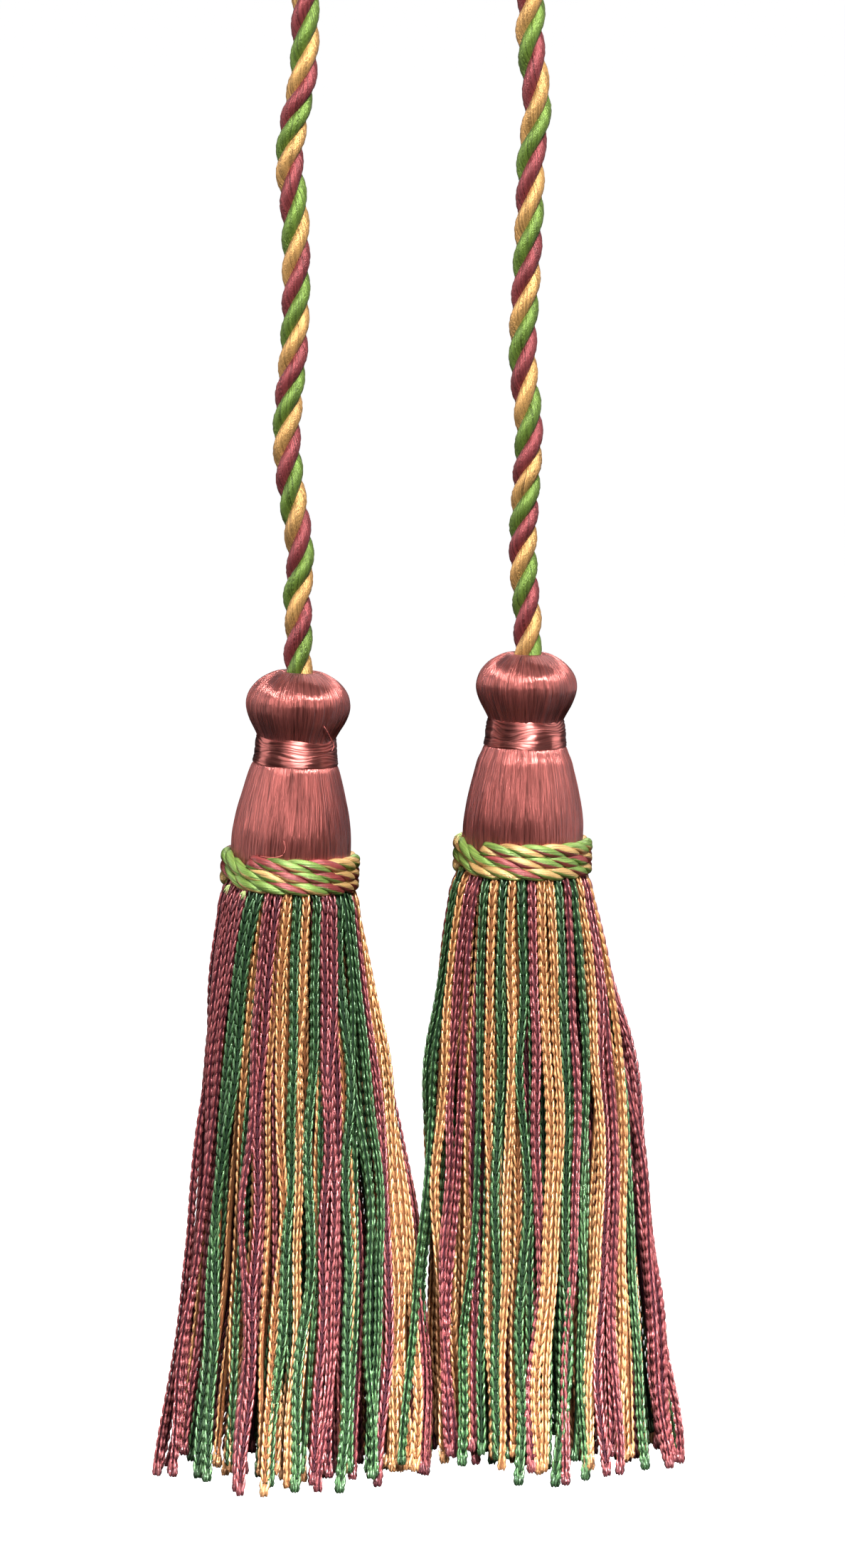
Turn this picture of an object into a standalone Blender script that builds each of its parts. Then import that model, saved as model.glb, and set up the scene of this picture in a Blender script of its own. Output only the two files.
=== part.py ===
"""Double-tassel curtain tieback: a rose, green and gold twisted cord with a satin tassel on each end.

The tieback hangs by the middle of its cord. X runs to the right across both tassels, Z points up, and
the origin is the underside of the cord at the top of its arch, where a tieback hook carries it.
"""
import math
import random
from collections import namedtuple

import bmesh
import bpy
from mathutils import Matrix, Vector

MM = 0.001
DEGREE = math.pi / 180

# Cord
CORD_RADIUS = 2.4 * MM
CORD_VALLEY = 1.55 * MM
CORD_LAY = 15.3 * MM
CORD_STEPS = 8
PLIES = 3
SMOOTH_STEPS = 24

# Collar cord, wound in rows round the foot of each head
COLLAR_RING = 10.75 * MM
COLLAR_ROWS = 3
COLLAR_PITCH = 2.2 * MM
COLLAR_FOOT = 1.15 * MM
COLLAR_RADIUS = 0.95 * MM
COLLAR_VALLEY = 0.62 * MM
COLLAR_TURNS = 6
COLLAR_STEPS = 6
COLLAR_START = -38 * DEGREE
COLLAR_JOG = 26 * DEGREE

# Head and neck band, turned
HEAD_SIDES = 24
BAND_SIDES = 24
SEAM = 0.3 * MM
NECK_HEIGHT = 20 * MM
SKIRT_FOOT = 6.5 * MM
SKIRT_TOP = 21 * MM

# Fringe
STRAND_RADIUS = 0.86 * MM
STRAND_SIDES = 3
STRAND_WIDTH = 1.5 * MM
STRAND_TRIM = 1.5 * MM
STRAND_WAVE = 0.45 * MM
STRAND_WAVES = 5
LOCK_HALF_WAY = 5.4
LOCK_TIPS = 4.8
HALF_WAY = 50 * MM
ROOT_SHARE = 0.2
HEADING_TOP = 2.4 * MM
HEADING_BRIM = -0.35 * MM
HEADING_FOOT = -1.7 * MM
HEADING_RADIUS = 9.45 * MM
HEADING_BRIM_RADIUS = 10.6 * MM
ROOT_DEPTH = -0.12 * MM
FRINGE_SPLIT = 1.3 * MM
CROSSING_FRONT = -8 * MM
CROSSING_FALL = 60 * MM
HEADING_SIDES = 30

COLORS = {
    "cord": (0.62, 0.36, 0.24),
    "rose": (0.48, 0.11, 0.11),
    "band": (0.55, 0.15, 0.14),
    "collar": (0.46, 0.48, 0.12),
    "fringe": (0.42, 0.22, 0.13),
}

Tassel = namedtuple("Tassel", "side x z lean longer girth")
TASSELS = (
    Tassel("left", x=-21.84 * MM, z=-170.97 * MM, lean=2.9 * DEGREE, longer=0.0, girth=1.0),
    Tassel("right", x=17.52 * MM, z=-169.88 * MM, lean=1.3 * DEGREE, longer=1.2 * MM, girth=0.97),
)

# The cord's route in millimetres, from the left tassel over the arch to the right tassel.
Knot = namedtuple("Knot", "x z")
ROUTE = tuple(Knot(*row) for row in (
    (-20.3, -131.2), (-20.1, -126.4), (-20.4, -121.5), (-19.8, -115.5), (-20.4, -109.4), (-21.5, -102.2),
    (-22.1, -94.9), (-21.7, -87.7), (-21.0, -81.0), (-20.5, -70.5), (-20.6, -58.7), (-21.1, -53.0),
    (-21.6, -48.0), (-20.9, -42.0), (-19.4, -34.5), (-18.9, -27.0), (-18.7, -19.5), (-16.3, -7.2),
    (-9.4, -0.2), (0.1, 2.4), (9.6, -0.2), (16.4, -7.2), (18.8, -19.5), (18.7, -27.2),
    (19.5, -34.0), (19.9, -39.5), (18.9, -47.5), (18.7, -56.0), (18.1, -68.3), (17.6, -76.8),
    (17.7, -83.5), (18.6, -93.1), (18.0, -104.6), (17.6, -112.5), (17.9, -119.1), (18.4, -125.5),
))

# Heights in millimetres at which the cord's rose ply crosses its front, in the order of the route.
ROSE_FRONTS = {
    "left": (-127.4, -112.8, -98.4, -83.6, -68.0, -51.8, -37.4),
    "right": (-32.8, -50.0, -66.4, -82.2, -97.2, -110.4, -123.8),
}

# Half outlines of the turned pieces, in millimetres: distance from the axis, height above the collar's foot.
Turn = namedtuple("Turn", "radius height")
DIMPLE_FLOOR = 34.2
DIMPLE_RADIUS = 2.75
HEAD_PROFILE = tuple(Turn(*row) for row in (
    (0.0, DIMPLE_FLOOR), (DIMPLE_RADIUS, DIMPLE_FLOOR), (2.85, 36.3), (3.5, 37.1), (4.9, 36.9),
    (6.5, 35.9), (7.9, 34.3), (8.65, 32.7), (8.85, 31.4), (8.6, 29.9), (8.0, 28.2), (7.35, 26.8),
    (6.75, 25.5), (6.2, 25.3), (6.2, 21.0), (7.45, 20.9), (8.0, 18.9), (8.5, 17.2), (9.2, 14.2),
    (9.75, 11.4), (10.05, 9.2), (10.05, 7.4), (9.45, 6.5), (9.45, 2.7), (0.0, 2.7),
))
BAND_PROFILE = tuple(Turn(*row) for row in (
    (6.55, 25.1), (6.9, 25.2), (7.2, 23.4), (7.4, 21.5), (7.2, 21.3), (6.55, 21.3),
))

# How the fringe spreads on its way down, in millimetres: half width, and the side step of its middle.
Spread = namedtuple("Spread", "fall half_width sway")
SPREAD = {
    "left": tuple(Spread(*row) for row in (
        (0, 11.65, 0.0), (6, 12.6, -0.1), (30, 15.7, 1.3), (54, 18.9, 2.9), (80, 21.2, 2.1), (100, 23.2, 0.3),
    )),
    "right": tuple(Spread(*row) for row in (
        (0, 11.65, 0.0), (6, 13.0, -0.1), (30, 17.1, 1.4), (54, 19.4, 2.7), (80, 20.0, 4.5), (100, 21.4, 6.1),
    )),
}

# Layers from the outside in: strands, distance from the axis at the root, share of the half width lower down.
Layer = namedtuple("Layer", "strands root share steps length")
LAYERS = (
    Layer(strands=42, root=10.85 * MM, share=1.0, steps=(0, 3, 16, 38, 62, 84, 100), length=99.5 * MM),
    Layer(strands=32, root=9.0 * MM, share=0.76, steps=(0, 4, 30, 62, 100), length=98.5 * MM),
    Layer(strands=22, root=7.1 * MM, share=0.52, steps=(0, 4, 45, 100), length=98.0 * MM),
    Layer(strands=12, root=5.2 * MM, share=0.29, steps=(0, 45, 100), length=97.5 * MM),
)

# Colour runs across the front of each fringe from left to right: strands, the angle round the tassel of
# the run's middle half way down and at the tips (0 is the front), how far it lies over its neighbours at
# the tips and how much shorter it is, in millimetres.
Run = namedtuple("Run", "yarn strands half_way tips over shorter")
FRONT_RUNS = {
    "left": tuple(Run(*row) for row in (
        ("rose", 4, -95.0, -94.0, 0.0, 2.5), ("rose", 2, -74.0, -66.0, 0.0, 3.0),
        ("green", 2, -57.0, -45.0, 0.0, 0.0), ("rose", 2, -28.4, -20.0, 0.0, -0.8),
        ("gold", 1, -14.0, -11.5, 0.0, -1.6), ("green", 1, -8.3, -6.6, 0.0, 0.8),
        ("gold", 1, -2.5, -1.8, 0.0, 0.0), ("green", 1, 3.5, -3.5, 1.9, -0.2),
        ("rose", 2, 15.0, 12.5, 0.0, 0.6), ("green", 1, 26.7, 22.0, 0.0, -0.8),
        ("green", 2, 40.0, 35.0, 0.0, 1.6), ("rose", 1, 51.0, 44.0, 0.0, 0.4),
        ("gold", 2, 61.0, 54.0, 0.0, 2.0),
    )),
    "right": tuple(Run(*row) for row in (
        ("gold", 1, -96.0, -98.0, 0.0, 1.0), ("green", 1, -86.0, -84.0, 0.0, 1.5),
        ("green", 1, -68.0, -60.0, 8.0, 1.0), ("gold", 1, -62.0, -62.0, 0.0, 1.0),
        ("rose", 2, -52.0, -51.0, 0.0, 2.2), ("green", 1, -34.0, -42.0, 0.0, 1.0),
        ("gold", 1, -27.0, -34.0, 0.0, 3.0), ("green", 1, -21.0, -29.0, 0.0, 2.0),
        ("gold", 1, -15.0, -24.0, 0.0, 0.8), ("green", 1, -6.0, -17.0, 0.0, -0.4),
        ("rose", 1, -0.5, -12.0, 0.0, 0.6), ("gold", 2, 7.5, -5.5, 0.0, 1.0),
        ("green", 1, 15.5, 1.5, 0.0, -0.8), ("rose", 1, 21.0, 6.3, 0.0, -1.2),
        ("green", 1, 26.5, 11.0, 0.0, -0.6), ("gold", 1, 32.5, 16.0, 0.0, 1.4),
        ("rose", 2, 42.0, 23.5, 0.0, 0.5), ("gold", 1, 53.0, 34.0, 0.0, 1.0),
        ("green", 1, 62.0, 50.0, 0.0, 0.3), ("rose", 2, 76.0, 68.0, 0.0, 1.5),
    )),
}

# Scene and mesh helpers
def clear_scene():
    """Start from an empty scene."""
    for scene_object in list(bpy.data.objects):
        bpy.data.objects.remove(scene_object, do_unlink=True)


def new_collection(name):
    """A collection linked to the scene."""
    collection = bpy.data.collections.new(name)
    bpy.context.scene.collection.children.link(collection)
    return collection


def make_material(name, color, roughness):
    """A yarn finish: a Principled surface of one colour."""
    material = bpy.data.materials.new(name)
    material.use_nodes = True
    surface = material.node_tree.nodes["Principled BSDF"]
    surface.inputs["Base Color"].default_value = (*color, 1.0)
    surface.inputs["Roughness"].default_value = roughness
    surface.inputs["Metallic"].default_value = 0.0
    return material


def add_object(name, data, collection, material=None):
    """Put new object data in a collection."""
    scene_object = bpy.data.objects.new(name, data)
    collection.objects.link(scene_object)
    if material is not None:
        data.materials.append(material)
    return scene_object


def mark_as_guide(scene_object):
    """Show a guide as wire only."""
    scene_object.hide_render = True
    scene_object.display_type = "WIRE"
    return scene_object


def lean_matrix(tassel):
    """Tilt of a tassel's axis: its top leans to the right."""
    return Matrix.Rotation(tassel.lean, 4, "Y")


# Curves
def smooth_path(knots, spacing):
    """Evenly spaced points on a Catmull-Rom curve through the knots."""
    padded = [2 * knots[0] - knots[1], *knots, 2 * knots[-1] - knots[-2]]
    fine = []
    for a, b, c, d in zip(padded, padded[1:], padded[2:], padded[3:]):
        for step in range(SMOOTH_STEPS):
            t = step / SMOOTH_STEPS
            fine.append(0.5 * (2 * b + (c - a) * t + (2 * a - 5 * b + 4 * c - d) * t ** 2
                               + (3 * b - a - 3 * c + d) * t ** 3))
    fine.append(knots[-1])
    return resample(fine, spacing)


def resample(points, spacing):
    """Points at equal steps, near the spacing asked for, along a fine polyline."""
    reach = [0.0]
    for start, end in zip(points, points[1:]):
        reach.append(reach[-1] + (end - start).length)
    steps = round(reach[-1] / spacing)
    evenly = []
    index = 0
    for step in range(steps + 1):
        target = reach[-1] * step / steps
        while index < len(points) - 2 and reach[index + 1] < target:
            index += 1
        share = (target - reach[index]) / (reach[index + 1] - reach[index])
        evenly.append(points[index].lerp(points[index + 1], share))
    return evenly


def section_outline(name, reaches, collection):
    """Closed outline of a swept piece's section, with one corner at each reach from its middle."""
    curve = bpy.data.curves.new(name, "CURVE")
    curve.dimensions = "2D"
    spline = curve.splines.new("POLY")
    spline.points.add(len(reaches) - 1)
    for index, (point, reach) in enumerate(zip(spline.points, reaches)):
        angle = -2 * math.pi * index / len(reaches)
        point.co = (reach * math.cos(angle), reach * math.sin(angle), 0.0, 1.0)
    spline.use_cyclic_u = True
    return mark_as_guide(add_object(name, curve, collection))


def rope_section(name, radius, valley, collection):
    """Outline of a rope: a corner on each ply and one in the valley beside it."""
    return section_outline(name, (radius, valley) * PLIES, collection)


def add_spline(curve, points, tilts):
    """Add one straight-stepped spline."""
    spline = curve.splines.new("POLY")
    spline.points.add(len(points) - 1)
    for point, place, tilt in zip(spline.points, points, tilts):
        point.co = (*place, 1.0)
        point.tilt = tilt


def swept_curve(name, section, collection, material, twist_mode):
    """An empty curve object that carries a section along its splines, with closed ends."""
    curve = bpy.data.curves.new(name, "CURVE")
    curve.dimensions = "3D"
    curve.twist_mode = twist_mode
    curve.bevel_mode = "OBJECT"
    curve.bevel_object = section
    curve.use_fill_caps = True
    return add_object(name, curve, collection, material)


def turned_object(name, profile, sides, collection, material):
    """A piece turned about Z from a half outline given in metres, outer side from top to bottom."""
    mesh = bpy.data.meshes.new(name)
    edges = [(index, index + 1) for index in range(len(profile) - 1)]
    if profile[0].radius > 0:
        edges.append((len(profile) - 1, 0))
    mesh.from_pydata([(turn.radius, 0.0, turn.height) for turn in profile], edges, [])
    turned = add_object(name, mesh, collection, material)
    screw = turned.modifiers.new("Turn", "SCREW")
    screw.steps = sides
    screw.render_steps = sides
    screw.use_merge_vertices = True
    screw.merge_threshold = 0.00005
    screw.use_smooth_shade = True
    return turned


def curve_to_mesh(curve_object, collection):
    """Replace a swept curve by its mesh, with the caps welded on."""
    bpy.context.view_layer.update()
    depsgraph = bpy.context.evaluated_depsgraph_get()
    mesh = bpy.data.meshes.new_from_object(curve_object.evaluated_get(depsgraph))
    welded = bmesh.new()
    welded.from_mesh(mesh)
    bmesh.ops.remove_doubles(welded, verts=welded.verts, dist=1e-6)
    bmesh.ops.recalc_face_normals(welded, faces=welded.faces)
    welded.to_mesh(mesh)
    welded.free()
    name = curve_object.name
    place = curve_object.matrix_world.copy()
    bpy.data.objects.remove(curve_object, do_unlink=True)
    mesh_object = add_object(name, mesh, collection)
    mesh_object.matrix_world = place
    return mesh_object


# Cord
def head_axis_point(tassel, height):
    """A point on a tassel's leaning axis, at a height above its collar's foot."""
    return Vector((tassel.x, 0.0, tassel.z)) + lean_matrix(tassel) @ Vector((0.0, 0.0, height))


def cord_knots():
    """The route with its two ends seated in the heads' dimples."""
    knots = [Vector((knot.x * MM, 0.0, knot.z * MM)) for knot in ROUTE]
    left, right = (head_axis_point(tassel, DIMPLE_FLOOR * MM + tassel.longer + SEAM) for tassel in TASSELS)
    return [left, *knots, right]


def index_at_height(path, side, height):
    """Where one leg of the path passes a height, as a point's index with its fraction."""
    for index, (start, end) in enumerate(zip(path, path[1:])):
        on_leg = (start.x < 0) == (side == "left")
        if on_leg and min(start.z, end.z) <= height <= max(start.z, end.z):
            return index + (height - start.z) / (end.z - start.z)


def cord_turns(path):
    """The twist at each point of the path, in turns: a whole number where the rose ply is in front."""
    step = (path[1] - path[0]).length
    left, right = ([index_at_height(path, side, height * MM) for height in ROSE_FRONTS[side]]
                   for side in ("left", "right"))
    arch = round((right[0] - left[-1]) * step / CORD_LAY)
    turns = [*range(len(left)), *range(len(left) - 1 + arch, len(left) - 1 + arch + len(right))]
    marks = list(zip([*left, *right], turns))
    marks.insert(0, (0.0, -left[0] * step / CORD_LAY))
    end = len(path) - 1
    marks.append((end, turns[-1] + (end - right[-1]) * step / CORD_LAY))
    return [turn_between(marks, index) for index in range(len(path))]


def turn_between(marks, index):
    """Even twist between two marks of the path."""
    for (start, start_turn), (end, end_turn) in zip(marks, marks[1:]):
        if index <= end:
            return start_turn + (end_turn - start_turn) * (index - start) / (end - start)


def make_cord(parts, guides, material):
    """The three-ply cord from one head over the arch to the other, its twist in the solid."""
    section = rope_section("cord_section", CORD_RADIUS, CORD_VALLEY, guides)
    path = smooth_path(cord_knots(), CORD_LAY / CORD_STEPS)
    tilts = [math.pi + turn * 2 * math.pi for turn in cord_turns(path)]
    cord = swept_curve("cord", section, parts, material, "MINIMUM")
    add_spline(cord.data, path, tilts)
    return cord


# Head, neck band and collar
def placed_profile(profile, tassel):
    """A half outline in metres, fitted to one tassel: girth above the band, a longer skirt below it."""
    placed = []
    for turn in profile:
        height = turn.height * MM
        above_skirt = height > NECK_HEIGHT
        girth = tassel.girth if above_skirt and turn.radius > DIMPLE_RADIUS else 1.0
        up_skirt = max(0.0, (height - SKIRT_FOOT) / (SKIRT_TOP - SKIRT_FOOT))
        lift = tassel.longer if above_skirt else tassel.longer * up_skirt
        placed.append(Turn(turn.radius * girth * MM, height + lift))
    return placed


def make_head(tassel, parts, material, hanger):
    """The thread-covered head, its neck and the short skirt that widens down to the collar."""
    profile = placed_profile(HEAD_PROFILE, tassel)
    head = turned_object(f"head_{tassel.side}", profile, HEAD_SIDES, parts, material)
    head.parent = hanger
    return head


def make_neck_band(tassel, parts, material, hanger):
    """The thread wound round the neck."""
    profile = placed_profile(BAND_PROFILE, tassel)
    band = turned_object(f"neck_band_{tassel.side}", profile, BAND_SIDES, parts, material)
    band.parent = hanger
    return band


def collar_path():
    """The collar cord's centre line: level rows that step down one row at the left front."""
    sweep = COLLAR_ROWS * 2 * math.pi - COLLAR_JOG
    steps = round(sweep / (2 * math.pi) * COLLAR_TURNS * COLLAR_STEPS)
    path = []
    for step in range(steps + 1):
        travelled = sweep * step / steps
        angle = COLLAR_START + travelled
        rows_down = sum(jog_share(travelled - row * 2 * math.pi) for row in range(1, COLLAR_ROWS))
        height = COLLAR_FOOT + (COLLAR_ROWS - 1 - rows_down) * COLLAR_PITCH
        path.append(Vector((COLLAR_RING * math.sin(angle), -COLLAR_RING * math.cos(angle), height)))
    return path


def jog_share(past_start):
    """Share of a row's step down, from 0 before the step to 1 after it."""
    share = min(1.0, max(0.0, past_start / COLLAR_JOG + 1))
    return share * share * (3 - 2 * share)


def make_collar(tassel, parts, guides, material, hanger):
    """The thin three-ply cord wound round the skirt's foot in one length."""
    section = rope_section(f"collar_section_{tassel.side}", COLLAR_RADIUS, COLLAR_VALLEY, guides)
    path = collar_path()
    tilts = [index * 2 * math.pi / COLLAR_STEPS for index in range(len(path))]
    collar = swept_curve(f"collar_{tassel.side}", section, parts, material, "Z_UP")
    add_spline(collar.data, path, tilts)
    collar.parent = hanger
    return collar


# Fringe
def spread_at(side, fall):
    """Half width of the fringe and the side step of its middle, at a fall below the collar."""
    rows = SPREAD[side]
    fall_mm = min(fall / MM, rows[-1].fall)
    for upper, lower in zip(rows, rows[1:]):
        if fall_mm <= lower.fall:
            share = (fall_mm - upper.fall) / (lower.fall - upper.fall)
            half_width = upper.half_width + (lower.half_width - upper.half_width) * share
            sway = upper.sway + (lower.sway - upper.sway) * share
            return half_width * MM, sway * MM
    return rows[-1].half_width * MM, rows[-1].sway * MM


def front_angles(side):
    """Angles of the outer layer's front strands, half way down and at the tips, with their run."""
    angles = []
    for run in FRONT_RUNS[side]:
        for index in range(run.strands):
            offset = index - (run.strands - 1) / 2
            angles.append((run, run.half_way + offset * LOCK_HALF_WAY, run.tips + offset * LOCK_TIPS))
    return angles


def layer_angles(side, level):
    """For each strand of a layer: its run (or None), and its angles at the root, half way and tips."""
    count = LAYERS[level].strands
    roots = [-90 + 360 / count * (index + 0.5) for index in range(count)]
    front = front_angles(side)
    if level > 0:
        turned_half = sum(run.half_way for run, _, _ in front) / len(front)
        turned_tips = sum(run.tips for run, _, _ in front) / len(front)
        return [(None, root, root + turned_half, root + turned_tips) for root in roots]
    strands = [(run, root, half, tips) for root, (run, half, tips) in zip(roots, front)]
    _, first_half, first_tips = front[0]
    _, last_half, last_tips = front[-1]
    behind = count - len(front)
    for index, root in enumerate(roots[len(front):]):
        share = (index + 1) / (behind + 1)
        half = last_half + (360 + first_half - last_half) * share
        tips = last_tips + (360 + first_tips - last_tips) * share
        strands.append((None, root, half, tips))
    return strands


def turned_angle(root, half, tips, fall, length):
    """A strand's angle at a fall: a smooth curve through its three stated angles."""
    share = fall / length
    middle = HALF_WAY / length
    at_root = (share - middle) * (share - 1) / middle
    at_middle = share * (share - 1) / (middle * (middle - 1))
    at_tips = share * (share - middle) / (1 - middle)
    return (root * at_root + half * at_middle + tips * at_tips) * DEGREE


def layer_reach(layer, half_width, share):
    """Distance from the axis at a share of a strand's length: the outer layer follows the outline."""
    reach = (half_width - STRAND_WIDTH / 2) * layer.share
    if layer.share == 1:
        return reach
    return layer.root + (reach - layer.root) * min(1.0, share / ROOT_SHARE)


def strand_points(tassel, layer, run, angles, rng):
    """Centre line of one strand, from inside the heading down to its tip."""
    shorter = run.shorter * MM if run else 0.0
    over = run.over * MM if run else 0.0
    length = layer.length - shorter - rng.uniform(0, STRAND_TRIM)
    wave = rng.uniform(0.5, 1.0) * STRAND_WAVE
    phase = rng.uniform(0, 2 * math.pi)
    points = []
    for step in layer.steps:
        share = step / 100
        fall = share * length
        half_width, sway = spread_at(tassel.side, fall)
        loose = min(1.0, fall / HALF_WAY)
        reach = layer_reach(layer, half_width, share) + over * share * share
        reach += loose * wave * math.sin(phase + STRAND_WAVES * share)
        angle = turned_angle(*angles, fall, length)
        points.append(Vector((sway + reach * math.sin(angle), -reach * math.cos(angle), ROOT_DEPTH - fall)))
    return points


def hang_from(tassel, points):
    """Place a strand: the root follows the leaning heading, the rest hangs plumb; the fringes stay apart."""
    centre = Vector((tassel.x, 0.0, tassel.z))
    root = lean_matrix(tassel) @ Vector((points[0].x, points[0].y, 0.0))
    step = root - Vector((points[0].x, points[0].y, 0.0))
    placed = []
    for point in points:
        world = centre + point + step
        world.x = keep_apart(tassel, world)
        placed.append(world)
    return placed


def keep_apart(tassel, world):
    """Hold the two fringes apart where they lean on each other."""
    clear = STRAND_RADIUS + SEAM / 2
    if tassel.side == "left":
        return min(world.x, FRINGE_SPLIT - clear)
    crosses = world.y < CROSSING_FRONT and world.z < tassel.z - CROSSING_FALL
    return world.x if crosses else max(world.x, FRINGE_SPLIT + clear)


def fringe_strands(tassel):
    """Centre lines of every strand of one tassel's fringe."""
    rng = random.Random(f"fringe {tassel.side}")
    strands = []
    for level, layer in enumerate(LAYERS):
        for run, root, half, tips in layer_angles(tassel.side, level):
            points = strand_points(tassel, layer, run, (root, half, tips), rng)
            strands.append(hang_from(tassel, points))
    return strands


def make_heading(tassel, collection, material):
    """The fringe's heading: a stud inside the collar with a brim below it that carries every root."""
    profile = (
        Turn(0.0, HEADING_TOP), Turn(HEADING_RADIUS, HEADING_TOP), Turn(HEADING_RADIUS, HEADING_BRIM),
        Turn(HEADING_BRIM_RADIUS, HEADING_BRIM), Turn(HEADING_BRIM_RADIUS, HEADING_FOOT),
        Turn(0.0, HEADING_FOOT),
    )
    return turned_object(f"fringe_{tassel.side}", profile, HEADING_SIDES, collection, material)


def make_fringe(tassel, parts, guides, material):
    """All strands of one tassel, fused to the heading at their roots."""
    section = section_outline(f"strand_section_{tassel.side}", (STRAND_RADIUS,) * STRAND_SIDES, guides)
    strands = swept_curve(f"strands_{tassel.side}", section, guides, material, "MINIMUM")
    rng = random.Random(f"turn {tassel.side}")
    for points in fringe_strands(tassel):
        tilt = rng.uniform(0, 2 * math.pi)
        add_spline(strands.data, points, [tilt] * len(points))
    strands = mark_as_guide(curve_to_mesh(strands, guides))
    heading = make_heading(tassel, parts, material)
    heading.location = (tassel.x, 0.0, tassel.z)
    heading.rotation_euler = (0.0, tassel.lean, 0.0)
    union = heading.modifiers.new("Roots", "BOOLEAN")
    union.operation = "UNION"
    union.object = strands
    union.use_self = True
    return heading


def make_hanger(tassel, guides):
    """An empty on the tassel's axis at its collar's foot, which carries the turned pieces."""
    hanger = bpy.data.objects.new(f"hanger_{tassel.side}", None)
    guides.objects.link(hanger)
    hanger.location = (tassel.x, 0.0, tassel.z)
    hanger.rotation_euler = (0.0, tassel.lean, 0.0)
    return hanger


def build():
    """Make the tieback."""
    clear_scene()
    parts = new_collection("curtain_tieback_tassel")
    guides = new_collection("guides")
    materials = {name: make_material(name, color, 0.5) for name, color in COLORS.items()}
    make_cord(parts, guides, materials["cord"])
    for tassel in TASSELS:
        hanger = make_hanger(tassel, guides)
        make_head(tassel, parts, materials["rose"], hanger)
        make_neck_band(tassel, parts, materials["band"], hanger)
        make_collar(tassel, parts, guides, materials["collar"], hanger)
        make_fringe(tassel, parts, guides, materials["fringe"])


build()
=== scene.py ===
"""Looks of the double-tassel curtain tieback: satin cord, floss heads, rope collars and chainette fringe.

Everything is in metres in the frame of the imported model: Z up, X to the right across both tassels, and
the origin at the underside of the cord's arch. Lengths in tables are in millimetres.
"""
import math
import random
from collections import namedtuple
from functools import partial

import bmesh
import bpy
from mathutils import Matrix, Vector, noise


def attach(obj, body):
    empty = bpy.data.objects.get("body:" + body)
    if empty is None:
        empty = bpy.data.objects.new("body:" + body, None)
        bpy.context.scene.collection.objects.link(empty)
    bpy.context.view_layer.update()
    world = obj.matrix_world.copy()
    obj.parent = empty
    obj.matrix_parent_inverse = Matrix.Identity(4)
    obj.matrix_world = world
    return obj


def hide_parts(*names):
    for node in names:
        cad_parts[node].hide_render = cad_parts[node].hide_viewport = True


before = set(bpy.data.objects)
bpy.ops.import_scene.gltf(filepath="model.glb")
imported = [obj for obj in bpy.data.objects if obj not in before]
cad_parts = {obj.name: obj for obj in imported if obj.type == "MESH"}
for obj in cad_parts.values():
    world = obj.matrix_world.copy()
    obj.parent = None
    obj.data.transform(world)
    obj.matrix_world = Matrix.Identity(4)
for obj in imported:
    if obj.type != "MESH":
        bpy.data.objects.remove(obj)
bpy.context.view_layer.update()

MM = 0.001
DEGREE = math.pi / 180
TURN = 2 * math.pi


def table(kind, *rows):
    """A short table: one named tuple for each row."""
    return tuple(kind(*row) for row in rows)


# The middle of each collar's foot, the axis's lean, how much longer the skirt is, and the head's girth.
Tassel = namedtuple("Tassel", "side x z lean longer girth")
TASSELS = (
    Tassel("left", x=-21.84 * MM, z=-170.97 * MM, lean=2.9 * DEGREE, longer=0.0, girth=1.0),
    Tassel("right", x=17.52 * MM, z=-168.5 * MM, lean=1.3 * DEGREE, longer=0.6 * MM, girth=0.97),
)

# Unevenness of thread on a round piece: how fine it is round the piece and along it, how high it stands,
# how strongly it paints shade in its hollows, and the sign that its seed takes.
Ripple = namedtuple("Ripple", "round along height groove sign")
# Level of the painted groove shade where a ripple is flat.
GROOVE_SHADE_LEVEL = 0.6

# Twisted cords: a ply's radius, the sides of its section, its own twist a metre and its first seed.
Ply = namedtuple("Ply", "radius sides twist seed")
CORD_PLY = Ply(radius=1.27 * MM, sides=12, twist=0.8 / MM, seed=1)
COLLAR_PLY = Ply(radius=0.62 * MM, sides=14, twist=0.9 / MM, seed=11)
PLIES = 3
PLY_LUMPS = Ripple(round=1.6, along=0.12, height=0.045, groove=0.5, sign=1)
SWELLS_PER_METRE = 180
SWELL_SHARE = 0.04
SEED_STEP = 7
PLAIN_YARN = (1.0, 0.0, 0.0)

# Cord
CORD_RADIUS = 2.45 * MM
CORD_LAY = 15.3 * MM
CORD_STEP = 0.6 * MM
SMOOTH_STEPS = 24
SEAM = 0.3 * MM

# The cord's route, from the left tassel over the arch to the right tassel.
Knot = namedtuple("Knot", "x z")
ROUTE = table(
    Knot,
    (-20.3, -131.2), (-20.1, -126.4), (-20.4, -121.5), (-19.8, -115.5), (-20.4, -109.4), (-21.5, -102.2),
    (-22.1, -94.9), (-21.7, -87.7), (-21.0, -81.0), (-20.5, -70.5), (-20.6, -58.7), (-21.1, -53.0),
    (-21.6, -48.0), (-20.9, -42.0), (-19.4, -34.5), (-18.9, -27.0), (-18.7, -19.5), (-16.3, -7.2),
    (-9.4, -0.2), (0.1, 2.4), (9.6, -0.2), (16.4, -7.2), (18.8, -19.5), (18.7, -27.2),
    (19.5, -34.0), (19.9, -39.5), (18.9, -47.5), (18.7, -56.0), (18.1, -68.3), (17.6, -76.8),
    (17.7, -83.5), (18.6, -93.1), (18.0, -104.6), (17.6, -112.5), (17.9, -119.1), (18.4, -125.5),
)

# Heights at which the cord's rose ply crosses its front, in the order of the route.
ROSE_FRONTS = {
    "left": (-127.4, -112.8, -98.4, -83.6, -68.0, -51.8, -37.4),
    "right": (-32.8, -50.0, -66.4, -82.2, -97.2, -110.4, -123.8),
}

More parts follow.
